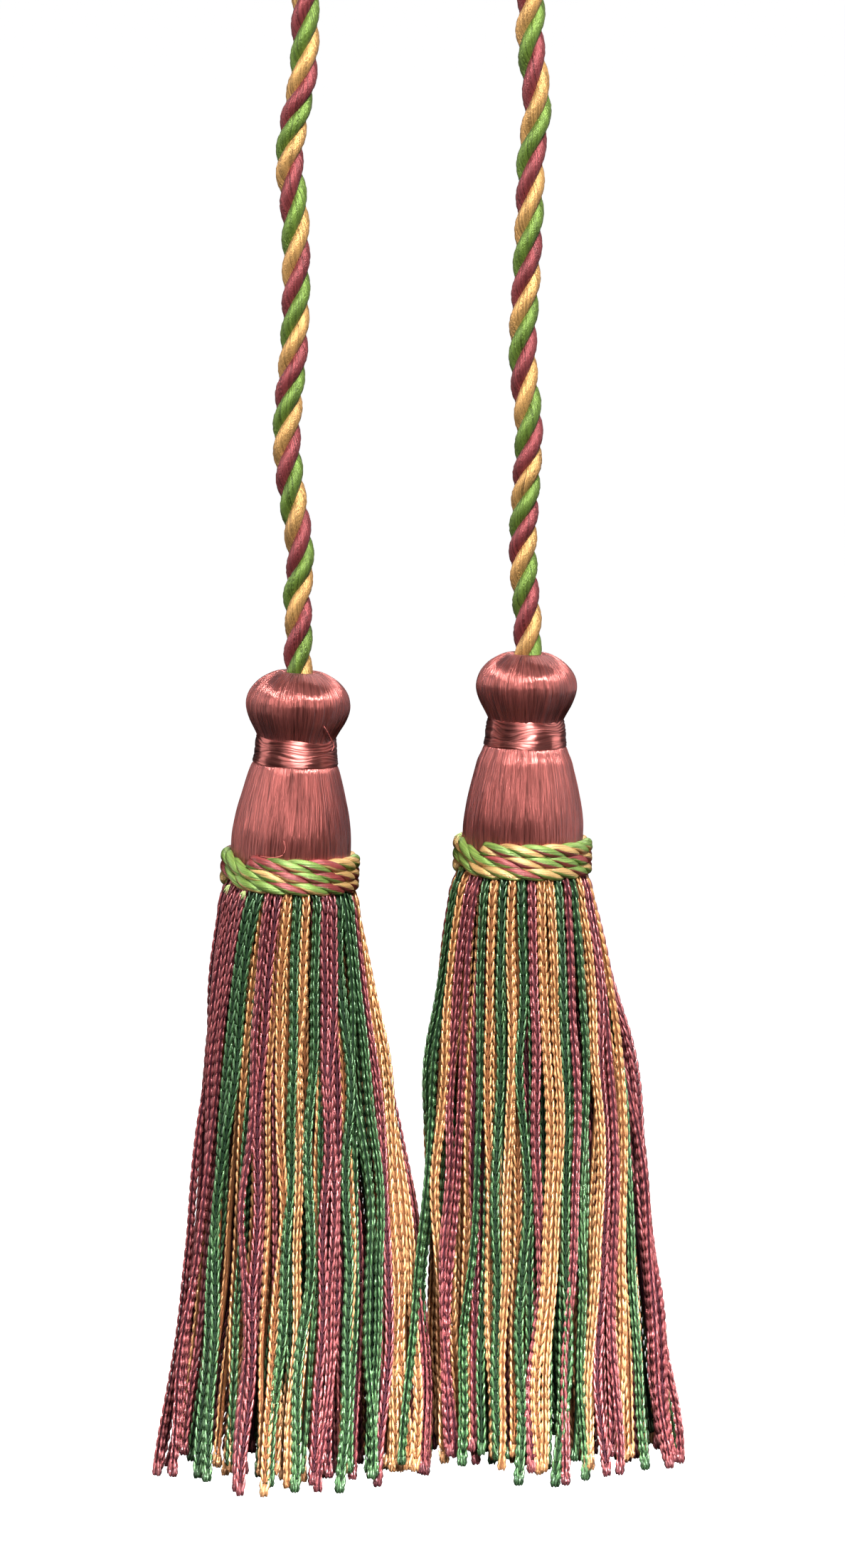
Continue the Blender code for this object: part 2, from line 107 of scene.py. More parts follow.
# Half outlines of the turned pieces: distance from the axis, height above the collar's foot.
Turn = namedtuple("Turn", "radius height")
HEAD_PROFILE = table(
    Turn,
    (1.7, 36), (2.2, 36.35), (2.75, 36.75), (3.3, 36.95), (4.1, 36.8), (5.2, 36.3), (6.6, 35.4),
    (7.8, 34.15), (8.5, 32.9), (8.8, 31.5), (8.62, 30.1), (8.05, 28.6), (7.4, 27.4), (6.8, 26.3),
    (6.5, 25.4), (6.4, 22.4), (6.75, 21.7), (7.25, 21), (7.6, 20.1), (7.95, 18.9), (8.3, 17.6),
    (9.15, 14.4), (9.75, 11.4), (10.05, 9.2), (10.12, 7.4), (10.08, 6), (9.95, 4.6), (9.6, 3.2),
)
BAND_PROFILE = table(
    Turn,
    (5.9, 26), (6.55, 25.95), (6.85, 25.6), (7.1, 24.2), (7.3, 22.6), (7.4, 21.7), (7.2, 21.2), (6.3, 21),
)
DIMPLE_FLOOR = 34.2 * MM
DIMPLE_RADIUS = 2.75
NECK_HEIGHT = 20 * MM
SKIRT_FOOT = 6.5 * MM
SKIRT_TOP = 21 * MM

# Head: laid floss. The dimple's floss lies flat, the rest in bundles and finer locks.
HEAD_COLUMNS = 216
HEAD_STEP = 0.5
FLOSS_WANDER = Ripple(round=2.5, along=0.07, height=0.05, groove=0, sign=1)
FLOSS_RIPPLES = table(Ripple, (8, 0.03, 0.12, 0.5, 1), (20, 0.04, 0.09, 0.4, -1), (7, 0.25, 0.06, 0, 1))
FLOSS_THREAD_RING = 9.0
FULL_RELIEF_RADIUS = 6 * MM

# Neck band: thread wound round in bundles that drift and cross a little.
BAND_COLUMNS = 96
BAND_ROWS = 72
BAND_GIRTH = 7.6 * MM
BAND_BUNDLES = 11
BAND_DRIFT = Ripple(round=1.1, along=2.5, height=0.07, groove=0, sign=1)
BAND_CROSSING = Ripple(round=1.7, along=6, height=0, groove=0, sign=-1)
BAND_FINE = Ripple(round=1.2, along=2, height=0.06, groove=0.3, sign=1)
BAND_SWELL = Ripple(round=4, along=3, height=0.04, groove=0, sign=-1)
DRIFT_SHARE = 0.10
CROSSING_SHARE = 0.06
CREST_SHARPNESS = 0.8
CREST_HEIGHT = 0.11
# Painted shade on the band: how much lighter the bundles' crests are than the valleys, and its level.
CREST_SHADE = 0.3
BAND_SHADE_LEVEL = 0.4
BAND_SINK = 0.24
BAND_EDGE_ROWS = 8
BAND_SAG = 0.45
WINDING_PER_BUNDLE = 0.42
WINDING_PER_RADIAN = 7.0

# Collar cord
COLLAR_RING = 10.75 * MM
COLLAR_ROWS = 3
COLLAR_PITCH = 1.85 * MM
COLLAR_FOOT = 1.45 * MM
COLLAR_FLAT = 0.28
COLLAR_SPREAD = 0.5 * MM
COLLAR_RISE = 0.70 * MM
COLLAR_TURNS = 6
COLLAR_STEP = 0.45 * MM
COLLAR_START = -38 * DEGREE
COLLAR_JOG = 40 * DEGREE
EDGE_TURNED = 0.6
EDGE_FROM = 0.75
EDGE_STEEPNESS = 1.6

# Bulges of the collar cord in front, by row from the top: place, main yarn, yarn along the lower edge.
Bulge = namedtuple("Bulge", "x main edge")
LIME, GOLD, ROSE, GREEN = "lime", "gold", "rose", "green"
COLLAR_BULGES = {
    "left": {
        1: table(Bulge, (-10, LIME, ROSE), (-7.4, ROSE, LIME), (-5.6, LIME, LIME), (-1.4, ROSE, LIME),
                 (2.2, LIME, GOLD), (5.5, LIME, ROSE), (8.5, ROSE, GOLD), (10.4, GOLD, LIME)),
        2: table(Bulge, (-10.8, ROSE, LIME), (-8, LIME, GOLD), (-4.8, GOLD, LIME), (-0.6, ROSE, GOLD),
                 (2.8, LIME, ROSE), (6.8, ROSE, LIME), (9.8, GOLD, ROSE)),
        3: table(Bulge, (-10, GOLD, LIME), (-6.5, LIME, GOLD), (-2.8, LIME, LIME), (1, ROSE, LIME),
                 (4, LIME, GOLD), (7.2, ROSE, LIME), (9.8, GOLD, ROSE)),
    },
    "right": {
        1: table(Bulge, (-10.4, GOLD, LIME), (-8, ROSE, LIME), (-6.3, GOLD, LIME), (-2.8, LIME, ROSE),
                 (0.6, GOLD, LIME), (4.4, LIME, ROSE), (8, GOLD, ROSE), (10.2, LIME, GOLD)),
        2: table(Bulge, (-8, LIME, GOLD), (-5, ROSE, LIME), (-1.6, GOLD, ROSE), (1.8, LIME, GOLD),
                 (5.8, LIME, ROSE), (8.8, ROSE, LIME), (10.6, GOLD, ROSE)),
        3: table(Bulge, (-7.8, GOLD, LIME), (-5.4, ROSE, LIME), (-2.2, GOLD, LIME), (1.2, ROSE, LIME),
                 (6, GOLD, LIME), (8.8, LIME, ROSE), (10.6, GOLD, LIME)),
    },
}
BULGE_CYCLE = (LIME, ROSE, LIME, GOLD, LIME, ROSE, GOLD)
YARN_SHARES = {LIME: (1.0, 0.0, 0.0), GOLD: (0.0, 1.0, 0.0), ROSE: (0.0, 0.0, 1.0)}

# Loose threads on the left tassel: points from the collar's foot, sideways, towards the back and up.
Spot = namedtuple("Spot", "x y height")
NECK_THREAD = table(
    Spot, (4.6, -6.9, 28.6), (5.3, -5.8, 27.4), (5.9, -4.4, 26.2), (6.4, -3.3, 25.1), (6.1, -3.9, 24.2),
)
COLLAR_THREAD = table(
    Spot, (-5, -9.9, 6.5), (-3.4, -10.8, 6.5), (-2.3, -10.9, 6.6), (-1.2, -10.7, 7.1), (-0.9, -10.4, 8.2),
    (-1.2, -10.2, 9.3),
)
THREAD_RADIUS = 0.07 * MM
THREAD_STEP = 0.5 * MM

# Frayed ends of the collar cord: the places that they open from, and one fibre's length and thickness.
FRAYS = {
    "left": table(Spot, (-9.9, -6.1, 0.9), (-7.3, -9.2, 0.4)),
    "right": table(Spot, (-10.4, -5, 7.4)),
}
FRAY_FIBRES = 16
FRAY_FAN = 0.5
FRAY_AWAY = 0.5
FRAY_LENGTHS = (0.7, 1.4)
FRAY_RADII = (0.12 * MM, 0.08 * MM, 0.03 * MM)
FRAY_FALL = Vector((0.0, 0.0, -0.7))
FRAY_BEND = Vector((0.0, 0.0, -0.2 * MM))

# How the fringe spreads on its way down: half width, and the side step of its middle.
Spread = namedtuple("Spread", "fall half_width sway")
SPREAD = {
    "left": table(
        Spread, (0, 11.65, 0), (6, 12.6, -0.1), (30, 15.7, 1.3), (54, 18.9, 2.9), (80, 21.2, 2.1),
        (100, 23.2, 0.3),
    ),
    "right": table(
        Spread, (0, 11.65, 0), (6, 13.0, -0.1), (30, 17.1, 1.4), (54, 19.5, 2.6), (80, 20.7, 3.8),
        (100, 22.3, 5.2),
    ),
}

# Layers of strands from the outside in, and a lining just inside the outer layer: distance from the axis
# at the root, share of the half width lower down, and the steps of a strand's line in percent.
Layer = namedtuple("Layer", "strands root share steps length")
LAYERS = (
    Layer(strands=42, root=10.85 * MM, share=1.0, steps=(0, 3, 16, 38, 62, 84, 100), length=99.5 * MM),
    Layer(strands=32, root=9.0 * MM, share=0.76, steps=(0, 4, 30, 62, 100), length=98.5 * MM),
    Layer(strands=22, root=7.1 * MM, share=0.52, steps=(0, 4, 45, 100), length=98.0 * MM),
    Layer(strands=12, root=5.2 * MM, share=0.29, steps=(0, 45, 100), length=97.5 * MM),
)
LINING = Layer(strands=42, root=10.0 * MM, share=0.89, steps=(0, 4, 30, 62, 100), length=97 * MM)
LINING_DOUBLED = 9

# Colour runs across the front of each fringe from left to right: strands, the angle of the run's middle
# half way down and at the tips, how far it lies over its neighbours and how much shorter it is.
Run = namedtuple("Run", "yarn strands half_way tips over shorter")
FRONT_RUNS = {
    "left": table(
        Run,
        ("rose", 4, -95, -94, 0.5, -1.2), ("rose", 2, -74, -64, 0, 0.3), ("green", 2, -55, -43, 0, 0),
        ("rose", 2, -29.4, -22, 0, -0.8), ("gold", 1, -14, -11.5, 0, -1.6), ("green", 1, -8.3, -6.6, 0, 0.8),
        ("gold", 1, -2.5, -1.8, 0, 0), ("green", 1, 3.5, -3.5, 1.9, -0.2), ("rose", 2, 15, 12.5, 0, 0.6),
        ("green", 1, 26.7, 22, 0, -0.8), ("green", 2, 40, 35, 0, 1.6), ("rose", 1, 51, 44, 0, 0.4),
        ("gold", 4, 66, 58, 0, 1.6),
    ),
    "right": table(
        Run,
        ("gold", 1, -96, -98, 0, 1), ("green", 1, -86, -84, 0, 1.5), ("green", 1, -68, -60, 8, 1),
        ("gold", 1, -62, -62, 0, 1), ("rose", 2, -52, -51, 0, 2.2), ("green", 1, -34, -42, 0, 1),
        ("gold", 1, -27, -34, 0, 3), ("green", 1, -21, -29, 0, 2), ("gold", 1, -15, -24, 0, 0.8),
        ("green", 1, -6, -17, 0, -0.4), ("rose", 1, -0.5, -12, 0, 0.6), ("gold", 2, 7.5, -5.5, 0, 1),
        ("green", 1, 15.5, 1.5, 0, -0.8), ("rose", 1, 21, 6.3, 0, -1.2), ("green", 1, 26.5, 11, 0, -0.6),
        ("gold", 1, 32.5, 16, 0, 1.4), ("rose", 2, 42, 23.5, 0, 0.5), ("gold", 1, 53, 34, 0, 1),
        ("green", 1, 61, 49, 0, 0.3), ("rose", 3, 77, 68, 0, 0.6),
    ),
}

# Colours of the strands that show between the front ones, from left to right, and of all the others.
BEHIND_RUNS = {
    "left": (ROSE, ROSE, GREEN, GOLD, GOLD, GOLD, ROSE, GREEN, GOLD, GOLD, ROSE, ROSE, ROSE, GREEN, GOLD,
             GOLD, GREEN),
    "right": (GREEN, GOLD, GOLD, GOLD, ROSE, GREEN, GOLD, ROSE, GREEN, GOLD, GOLD, ROSE, GOLD, ROSE, ROSE,
              GREEN, ROSE),
}
YARN_CYCLE = (ROSE, ROSE, GOLD, GREEN, GREEN, GOLD, ROSE, GREEN)

# Course of a strand: how the angles between neighbours close up, and how its line waves.
LOCK_HALF_WAY = 5.4
LOCK_TIPS = 4.8
HALF_WAY = 50 * MM
ROOT_SHARE = 0.2
ROOT_DEPTH = -0.12 * MM
STRAND_WIDTH = 1.5 * MM
STRAND_TRIM = 1.5 * MM
STRAND_WAVE = 0.45 * MM
STRAND_WAVES = 5
LEAST_WAVE = 0.5
FIRST_ROOT = -90

# The plane between the fringes, the distance that their strands keep from it, and where they may cross it.
FRINGE_SPLIT = 1.3 * MM
SPLIT_CLEARANCE = 0.57 * MM
CROSSING_FRONT = -8 * MM
CROSSING_FALL = 60 * MM

# Course of the knit about its strand: where it starts in the collar, how it sways near by and drifts far on.
KNIT_LIFT = 0.6 * MM
KNIT_TUCK = 0.6 * MM
TUCK_PER_LIFT = 0.6
KNIT_STEP = 3.2 * MM
SWAY_REACH = 0.7 * MM
SWAYS_PER_METRE = 45
DRIFT_REACH = 1.1 * MM
DRIFTS_PER_METRE = 16
FREE_FALL = 30 * MM
WANDER_SEEDS = 100
SWAY_PLACE, DRIFT_PLACE = 0.0, 7.0
OTHER_WAY = Vector((0.0, 31.7, 0.0))
GOLDEN_STEP = 0.618

# How far the knit may turn on its axis, and how loose it hangs, in the outer layer and inside it.
Hang = namedtuple("Hang", "roll looseness")
OUTER_HANG = Hang(roll=24, looseness=2.0)
INNER_HANG = Hang(roll=12, looseness=1.0)
TURNING = 45

# Knit: the distance between stitches, the half width and thickness of the core under them, and how much
# wider and thicker the knit is at the tips than at the collar, which presses it together.
STITCH_PITCH = 1.92 * MM
CORE_SHAPE = (0.42 * MM, 0.29 * MM, 1.0)
LOOSE_KNIT = (1.2, 1.12)

# One leg of a stitch: how far sideways, outward and along each station lies, and its thickness.
Station = namedtuple("Station", "side out along radius")
LEG = table(
    Station, (0.50, 0.20, -1.00, 0), (0.53, 0.31, -0.50, 0.16), (0.51, 0.37, 0.05, 0.22),
    (0.41, 0.39, 0.75, 0.24), (0.23, 0.33, 1.45, 0.20), (0.07, 0.18, 2.15, 0),
)
MIDDLE_LEG = table(
    Station, (0.50, 0.20, -1.00, 0), (0.52, 0.34, -0.10, 0.22), (0.37, 0.37, 0.90, 0.25),
    (0.07, 0.18, 2.15, 0),
)
BACK_LEG = table(Station, (0.50, 0.20, -1.00, 0), (0.42, 0.33, 0.40, 0.33), (0.07, 0.18, 2.15, 0))
LEG_SLANT = 0.4
SPINDLE_SIDES = 4

# Painted light on a stitch: it fades, as painted shade, along the leg and towards the middle of the strand.
LIT_ALONG = 0.2
FADE_ALONG = 0.5
LIT_OUT = 0.3
FADE_INWARD = 1.6
TUFT_LIT = 0.35

# The tuft at a strand's end: one fibre of it, as distance from the middle, place along and thickness.
Tip = namedtuple("Tip", "reach along radius")
TUFT_TIPS = table(Tip, (0.34, -1.9, 0.16), (0.50, -0.4, 0.30), (0.44, 0.38, 0.14))
TUFT_FIBRES = 7
TUFT_TURNED = 0.4
TUFT_TRIMMED = (0.4, 1.0)

# Satin threads: linear colour, its share in the shadow, relief, metallic gleam, roughness and grain.
Satin = namedtuple("Satin", "color shadow relief metallic roughness grain")
SATINS = {
    "rose_ply": Satin((0.28, 0.055, 0.058), 0.25, 0.3, 0.5, 0.48, 0.8),
    "gold_ply": Satin((0.64, 0.35, 0.115), 0.25, 0.3, 0.5, 0.48, 0.8),
    "green_ply": Satin((0.155, 0.25, 0.04), 0.25, 0.3, 0.5, 0.48, 0.8),
    "rose_floss": Satin((0.483, 0.131, 0.113), 0.3, 0.6, 0.75, 0.28, 1.0),
    "rose_winding": Satin((0.64, 0.20, 0.175), 0.3, 0.3, 0.9, 0.37, 1.0),
}
CORD_SATINS = ("rose_ply", "gold_ply", "green_ply")
LOOSE_THREAD_LIGHTER = 1.1
FRAYED_YARN = (0.42, 0.50, 0.20)

# Fibres in a thread's colour and relief: their stretch along the thread, fineness and detail, and how
# much they count in the colour and in the height.
Fibre = namedtuple("Fibre", "stretch scale detail light height")
# The share that the painted shade in the grooves has in the colour, and its level.
SATIN_GROOVE_SHADE = (0.5, 0.35)
COLLAR_GROOVE_SHADE = (0.6, 0.2)
SATIN_FIBRES = table(Fibre, (0.04, 1.1, 2, 0.8, 0), (0.05, 3, 2, 1.8, 0.65), (0.03, 8, 3, 2.2, 0.35))
COLLAR_FIBRES = table(Fibre, (0.04, 4.5, 3, 2, 0.6), (0.03, 11, 2, 1, 0.4))

# Yarns of the collar cord, and of the chainette, whose tips are painted lighter: linear colours.
Dye = namedtuple("Dye", "color shadow")
DYES = {
    "lime": Dye((0.30, 0.48, 0.10), 0.25),
    "gold": Dye((0.88, 0.54, 0.20), 0.35),
    "rose": Dye((0.45, 0.085, 0.08), 0.3),
}
RAGGED_EDGE = 0.5
RAGGED_STEEPNESS = 6.0
Yarn = namedtuple("Yarn", "color shadow tips")
CHAINETTE = {
    "rose": Yarn(color=(0.335, 0.077, 0.082), shadow=(0.05, 0.012, 0.02), tips=(0.46, 0.115, 0.12)),
    "green": Yarn(color=(0.052, 0.13, 0.046), shadow=(0.009, 0.024, 0.011), tips=(0.10, 0.225, 0.085)),
    "gold": Yarn(color=(0.76, 0.35, 0.13), shadow=(0.19, 0.067, 0.024), tips=(0.95, 0.48, 0.21)),
}

# Colour of the chainette: what a stitch's own tone and its fibres count in it, and its level.
TONE_SHARE = 0.3
FIBRE_SHARE = 0.6
CHAINETTE_LEVEL = -0.14
FIBRE_STRETCH = 0.35
FIBRE_SCALE = 9 / MM

# Camera and floor
LENS = 250
SENSOR = 36
LOOK_DOWN = 7 * DEGREE
PICTURE_HEIGHT = 264.5 * MM
PICTURE_CENTRE = Vector((0.72 * MM, 0.0, -153.2 * MM))
FAR_CLIP = 60.0
FLOOR_HALF = 15.0
FLOOR_HEIGHT = -0.42

# Lights: where each stands and what it faces, its size, all in metres, its power and its spread.
Softbox = namedtuple("Softbox", "name place target size power spread")
MIDDLE = (0.0, 0.0, -0.15)
SOFTBOXES = table(
    Softbox,
    ("key_light", (0.14, -0.56, 0.42), MIDDLE, (0.26, 0.06), 14.0, 180),
    ("front_fill", (-0.3, -1.3, 0.35), MIDDLE, (0.9, 0.6), 12.0, 180),
    ("fringe_light", (0.10, -0.70, 0.02), (0.005, 0.0, -0.30), (0.10, 0.06), 0.19, 16),
    ("left_panel", (-0.9, 0.15, 0.0), MIDDLE, (0.5, 1.0), 3.4, 180),
    ("back_panel", (0.3, 1.0, 0.7), MIDDLE, (0.9, 0.6), 7.0, 180),
    ("right_panel", (0.9, 0.15, 0.1), MIDDLE, (0.5, 1.0), 4.0, 180),
)


# Shader maths
class Field:
    """A socket's value inside one material, with ordinary arithmetic."""

    def __init__(self, finish, socket):
        self.finish = finish
        self.socket = socket

    def math(self, operation, other):
        return self.finish.node("ShaderNodeMath", {"operation": operation}, self, other)

    def __add__(self, other):
        return self.math("ADD", other)

    def __sub__(self, other):
        return self.math("SUBTRACT", other)

    def __mul__(self, other):
        return self.math("MULTIPLY", other)

    def clamp(self):
        return self.finish.node("ShaderNodeClamp", {}, self)


class Finish:
    """A material under construction."""

    def __init__(self, name):
        self.material = bpy.data.materials.new(name)
        self.material.use_nodes = True
        self.tree = self.material.node_tree
        self.surface = self.tree.nodes["Principled BSDF"]

    def node(self, kind, settings, *values, output=0, **named):
        """Add a node: its settings first, then its sockets by order or by name; returns one output."""
        made = self.tree.nodes.new(kind)
        for key, value in settings.items():
            setattr(made, key, value)
        for place, value in [*enumerate(values), *named.items()]:
            self.put(made.inputs[place], value)
        return Field(self, made.outputs[output])

    def put(self, socket, value):
        """Link a field to a socket, or set the socket's own value."""
        if isinstance(value, Field):
            self.tree.links.new(value.socket, socket)
        else:
            socket.default_value = value

    def set(self, **values):
        """Set or link the surface's own sockets; underscores stand for spaces. Returns the material."""
        for key, value in values.items():
            self.put(self.surface.inputs[key.replace("_", " ")], value)
        return self.material

    def attribute(self, name, output=1):
        """An attribute of the piece: 1 is its vector, 2 its number."""
        return self.node("ShaderNodeAttribute", {"attribute_name": name}, output=output)

    def noise(self, vector, stretch, scale, detail=2.0):
        """Smooth noise from 0 to 1, stretched along the third axis."""
        stretched = self.node("ShaderNodeVectorMath", {"operation": "MULTIPLY"}, vector, (1.0, 1.0, stretch))
        return self.node("ShaderNodeTexNoise", {}, Vector=stretched, Scale=scale, Detail=detail)

    def fibres(self, layers, shade_share, level):
        """Lightness with painted groove shade, height of fibres along the thread, and the finest layer
        alone.
        """
        thread = self.attribute("thread")
        light = self.attribute("groove", 2) * shade_share + level
        height = 0.0
        for layer in layers:
            fine = self.noise(thread, layer.stretch, layer.scale, layer.detail)
            light = light + (fine - 0.5) * layer.light
            height = fine * layer.height + height
        return light.clamp(), height, fine

    def mix(self, share, first, second):
        """Blend of two colours."""
        made = self.tree.nodes.new("ShaderNodeMix")
        made.data_type = "RGBA"
        self.put(made.inputs["Factor"], share)
        colors = [socket for socket in made.inputs if socket.type == "RGBA"]
        for socket, color in zip(colors, (first, second)):
            self.put(socket, color if isinstance(color, Field) else (*color, 1.0))
        return Field(self, next(socket for socket in made.outputs if socket.type == "RGBA"))

    def bump(self, height, strength, distance):
        """A normal raised by a height field."""
        return self.node("ShaderNodeBump", {}, Strength=strength, Distance=distance, Height=height)


def shade(color, amount):
    """A darker or lighter colour."""
    return tuple(min(1.0, channel * amount) for channel in color)


def satin_finish(name):
    """Satin thread: fine filaments along the piece, which gleam across their run."""
    satin = SATINS[name]
    finish = Finish(name)
    light, height, _ = finish.fibres(SATIN_FIBRES, *SATIN_GROOVE_SHADE)
    return finish.set(
        # Painted shade: the colour darkens in the relief's grooves, mixed with the fibres' own tone.
        Base_Color=finish.mix(light, shade(satin.color, satin.shadow), satin.color),
        Roughness=satin.roughness,
        Metallic=satin.metallic,
        Anisotropic=satin.grain,
        Tangent=finish.attribute("across"),
        Sheen_Weight=0.06,
        Sheen_Roughness=0.3,
        Sheen_Tint=(1.0, 0.8, 0.9, 1.0),
        Normal=finish.bump(height, 1.0, satin.relief * MM),
    )


def collar_finish():
    """Collar cord: bundles of lime, gold and rose yarn, ragged where one gives way to the next."""
    finish = Finish("collar_yarn")
    light, height, fine = finish.fibres(COLLAR_FIBRES, *COLLAR_GROOVE_SHADE)
    ragged = (fine - 0.5) * RAGGED_EDGE
    shares = finish.node("ShaderNodeSeparateXYZ", {}, finish.attribute("yarn")).socket.node.outputs
    gold, rose = (
        ((Field(finish, shares[place]) - 0.5 + ragged) * RAGGED_STEEPNESS + 0.5).clamp() for place in (1, 2)
    )

    def blend(colors):
        """The three yarns' colours, each where its yarn lies."""
        return finish.mix(rose, finish.mix(gold, colors["lime"], colors["gold"]), colors["rose"])

    # The yarns' colours, and darker copies of them for the painted shade in the grooves.
    bright = blend({name: dye.color for name, dye in DYES.items()})
    dark = blend({name: shade(dye.color, dye.shadow) for name, dye in DYES.items()})
    return finish.set(
        Base_Color=finish.mix(light, dark, bright),
        Roughness=0.34,
        Metallic=0.35,
        Specular_IOR_Level=0.9,
        Anisotropic=0.6,
        Tangent=finish.attribute("across"),
        Normal=finish.bump(height, 0.9, 0.3 * MM),
    )


def chainette_finish(name, yarn):
    """Knitted rayon yarn: shiny stitches of slightly differing tone, with painted shade where they dive
    under.
    """
    finish = Finish(name)
    where = finish.node("ShaderNodeTexCoord", {}, output=3)
    fibres = finish.noise(where, FIBRE_STRETCH, FIBRE_SCALE)
    tone = finish.attribute("tone", 2) * TONE_SHARE + (fibres - 0.5) * FIBRE_SHARE
    # Painted light and shade from the stitch's lit attribute, with its own random tone and fibres.
    light = (finish.attribute("lit", 2) + tone + CHAINETTE_LEVEL).clamp()
    # Painted light: lighter towards the tips, where the strands spread and shade one another less.
    lower = finish.mix(finish.attribute("fall", 2), yarn.color, yarn.tips)
    return finish.set(
        Base_Color=finish.mix(light, yarn.shadow, lower),
        Roughness=0.23,
        Metallic=0.4,
        Specular_IOR_Level=0.9,
        Normal=finish.bump(fibres, 0.5, 0.1 * MM),
    )


def plain_finish(name, color, roughness):
    """One plain colour that hardly gleams."""
    return Finish(name).set(Base_Color=(*color, 1.0), Roughness=roughness, Specular_IOR_Level=0.1)


# Objects and meshes
def add_object(name, data):
    """Put object data in the scene."""
    scene_object = bpy.data.objects.new(name, data)
    bpy.context.scene.collection.objects.link(scene_object)
    return scene_object


def settle(piece, slot, *nodes):
    """Let a finished piece ride on the tieback in place of its plain solids."""
    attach(piece, "root")
    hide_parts(*nodes)
    return piece


def lean_of(tassel):
    """The tilt of a tassel's axis."""
    return Matrix.Rotation(tassel.lean, 4, "Y")


def foot_of(tassel):
    """The middle of a tassel's collar, at its foot."""
    return Vector((tassel.x, 0.0, tassel.z))


def place_on_axis(piece, tassel):
    """Move a piece's mesh from the origin to a tassel's leaning axis."""
    piece.data.transform(Matrix.Translation(foot_of(tassel)) @ lean_of(tassel))
    return piece


def add_attribute(mesh, name, kind, values):
    """Store one value for each vertex."""
    field = "vector" if kind == "FLOAT_VECTOR" else "value"
    attribute = mesh.attributes.new(name, kind, "POINT")
    flat = [number for value in values for number in value] if field == "vector" else values
    attribute.data.foreach_set(field, flat)


def fill_mesh(mesh, shell):
    """Write a finished shell into a mesh: smooth, its faces turned outwards."""
    bmesh.ops.recalc_face_normals(shell, faces=shell.faces)
    shell.to_mesh(mesh)
    shell.free()
    mesh.shade_smooth()


def add_shell(name, shell, *materials):
    """The object of a finished shell."""
    mesh = bpy.data.meshes.new(name)
    fill_mesh(mesh, shell)
    for material in materials:
        mesh.materials.append(material)
    return add_object(name, mesh)


class Skin:
    """A mesh grown ring by ring; each point carries its thread coordinates, painted groove shade and yarn.
    """

    def __init__(self):
        self.rows = []
        self.around = []
        self.faces = []
        self.finishes = []
        self.first = None
        self.last = None

    def grow(self, rows, finish=0, lean=Vector((0.0, 0.0, 0.0))):
        """Add a ring of (point, thread, painted groove shade, yarn) rows and join it to the ring before, if
        any.

        The lean turns the filaments: it is added to the direction that lies across them.
        """
        ring = range(len(self.rows), len(self.rows) + len(rows))
        self.rows += rows
        for index in range(len(rows)):
            around = (rows[(index + 1) % len(rows)][0] - rows[index - 1][0]).normalized()
            self.around.append((around + lean).normalized())
        if self.last is None:
            self.first = ring
        else:
            self.bridge(self.last, ring, finish)
        self.last = ring

    def bridge(self, upper, lower, finish=0):
        """Join two rings by a band of faces."""
        for index in range(len(upper)):
            after = (index + 1) % len(upper)
            self.faces.append((upper[index], lower[index], lower[after], upper[after]))
            self.finishes.append(finish)

    def cap(self, finish=0):
        """Close both ends of the tube that was grown last; the next ring starts another."""
        self.faces += [tuple(reversed(self.first)), tuple(self.last)]
        self.finishes += [finish, finish]
        self.last = None

    def piece(self, name, materials, wound=False):
        """The finished object; its filaments run from ring to ring, or round the rings if it is wound."""
        points, thread, groove, yarn = zip(*self.rows)
        mesh = bpy.data.meshes.new(name)
        mesh.from_pydata(points, [], self.faces)
        for material in materials:
            mesh.materials.append(material)
        mesh.polygons.foreach_set("material_index", self.finishes)
        shell = bmesh.new()
        shell.from_mesh(mesh)
        fill_mesh(mesh, shell)
        across = self.around
        if wound:
            across = [vertex.normal.cross(around) for vertex, around in zip(mesh.vertices, self.around)]
        add_attribute(mesh, "across", "FLOAT_VECTOR", across)
        add_attribute(mesh, "thread", "FLOAT_VECTOR", thread)
        add_attribute(mesh, "groove", "FLOAT", groove)
        add_attribute(mesh, "yarn", "FLOAT_VECTOR", yarn)
        return add_object(name, mesh)


def add_spindle(target, centres, radii, facing=None, turned=0.0):
    """A thin closed spindle through some centres: pointed where its radius is 0, capped elsewhere."""
    rings = []
    for centre, direction, radius in zip(centres, tangents(centres), radii):
        if radius == 0:
            rings.append([target.verts.new(centre)] * SPINDLE_SIDES)
            continue
        side = (direction.orthogonal() if facing is None else direction.cross(facing)).normalized()
        out = side.cross(direction)
        angles = [TURN * (corner + turned) / SPINDLE_SIDES for corner in range(SPINDLE_SIDES)]
        reaches = [(out * math.cos(angle) + side * math.sin(angle)) * radius for angle in angles]
        rings.append([target.verts.new(centre + reach) for reach in reaches])
    for upper, lower in zip(rings, rings[1:]):
        for corner in range(SPINDLE_SIDES):
            after = (corner + 1) % SPINDLE_SIDES
            corners = dict.fromkeys((upper[corner], lower[corner], lower[after], upper[after]))
            target.faces.new(tuple(corners))
    if radii[0] > 0:
        target.faces.new(tuple(reversed(rings[0])))
    if radii[-1] > 0:
        target.faces.new(tuple(rings[-1]))


# Curves
def smooth_path(knots, spacing):
    """Evenly spaced points on a Catmull-Rom curve through the knots."""
    padded = [2 * knots[0] - knots[1], *knots, 2 * knots[-1] - knots[-2]]
    fine = []
    for a, b, c, d in zip(padded, padded[1:], padded[2:], padded[3:]):
        for step in range(SMOOTH_STEPS):
            t = step / SMOOTH_STEPS
            fine.append(0.5 * (2 * b + (c - a) * t + (2 * a - 5 * b + 4 * c - d) * t ** 2
                               + (3 * b - a - 3 * c + d) * t ** 3))
    fine.append(knots[-1])
    return resample(fine, spacing)


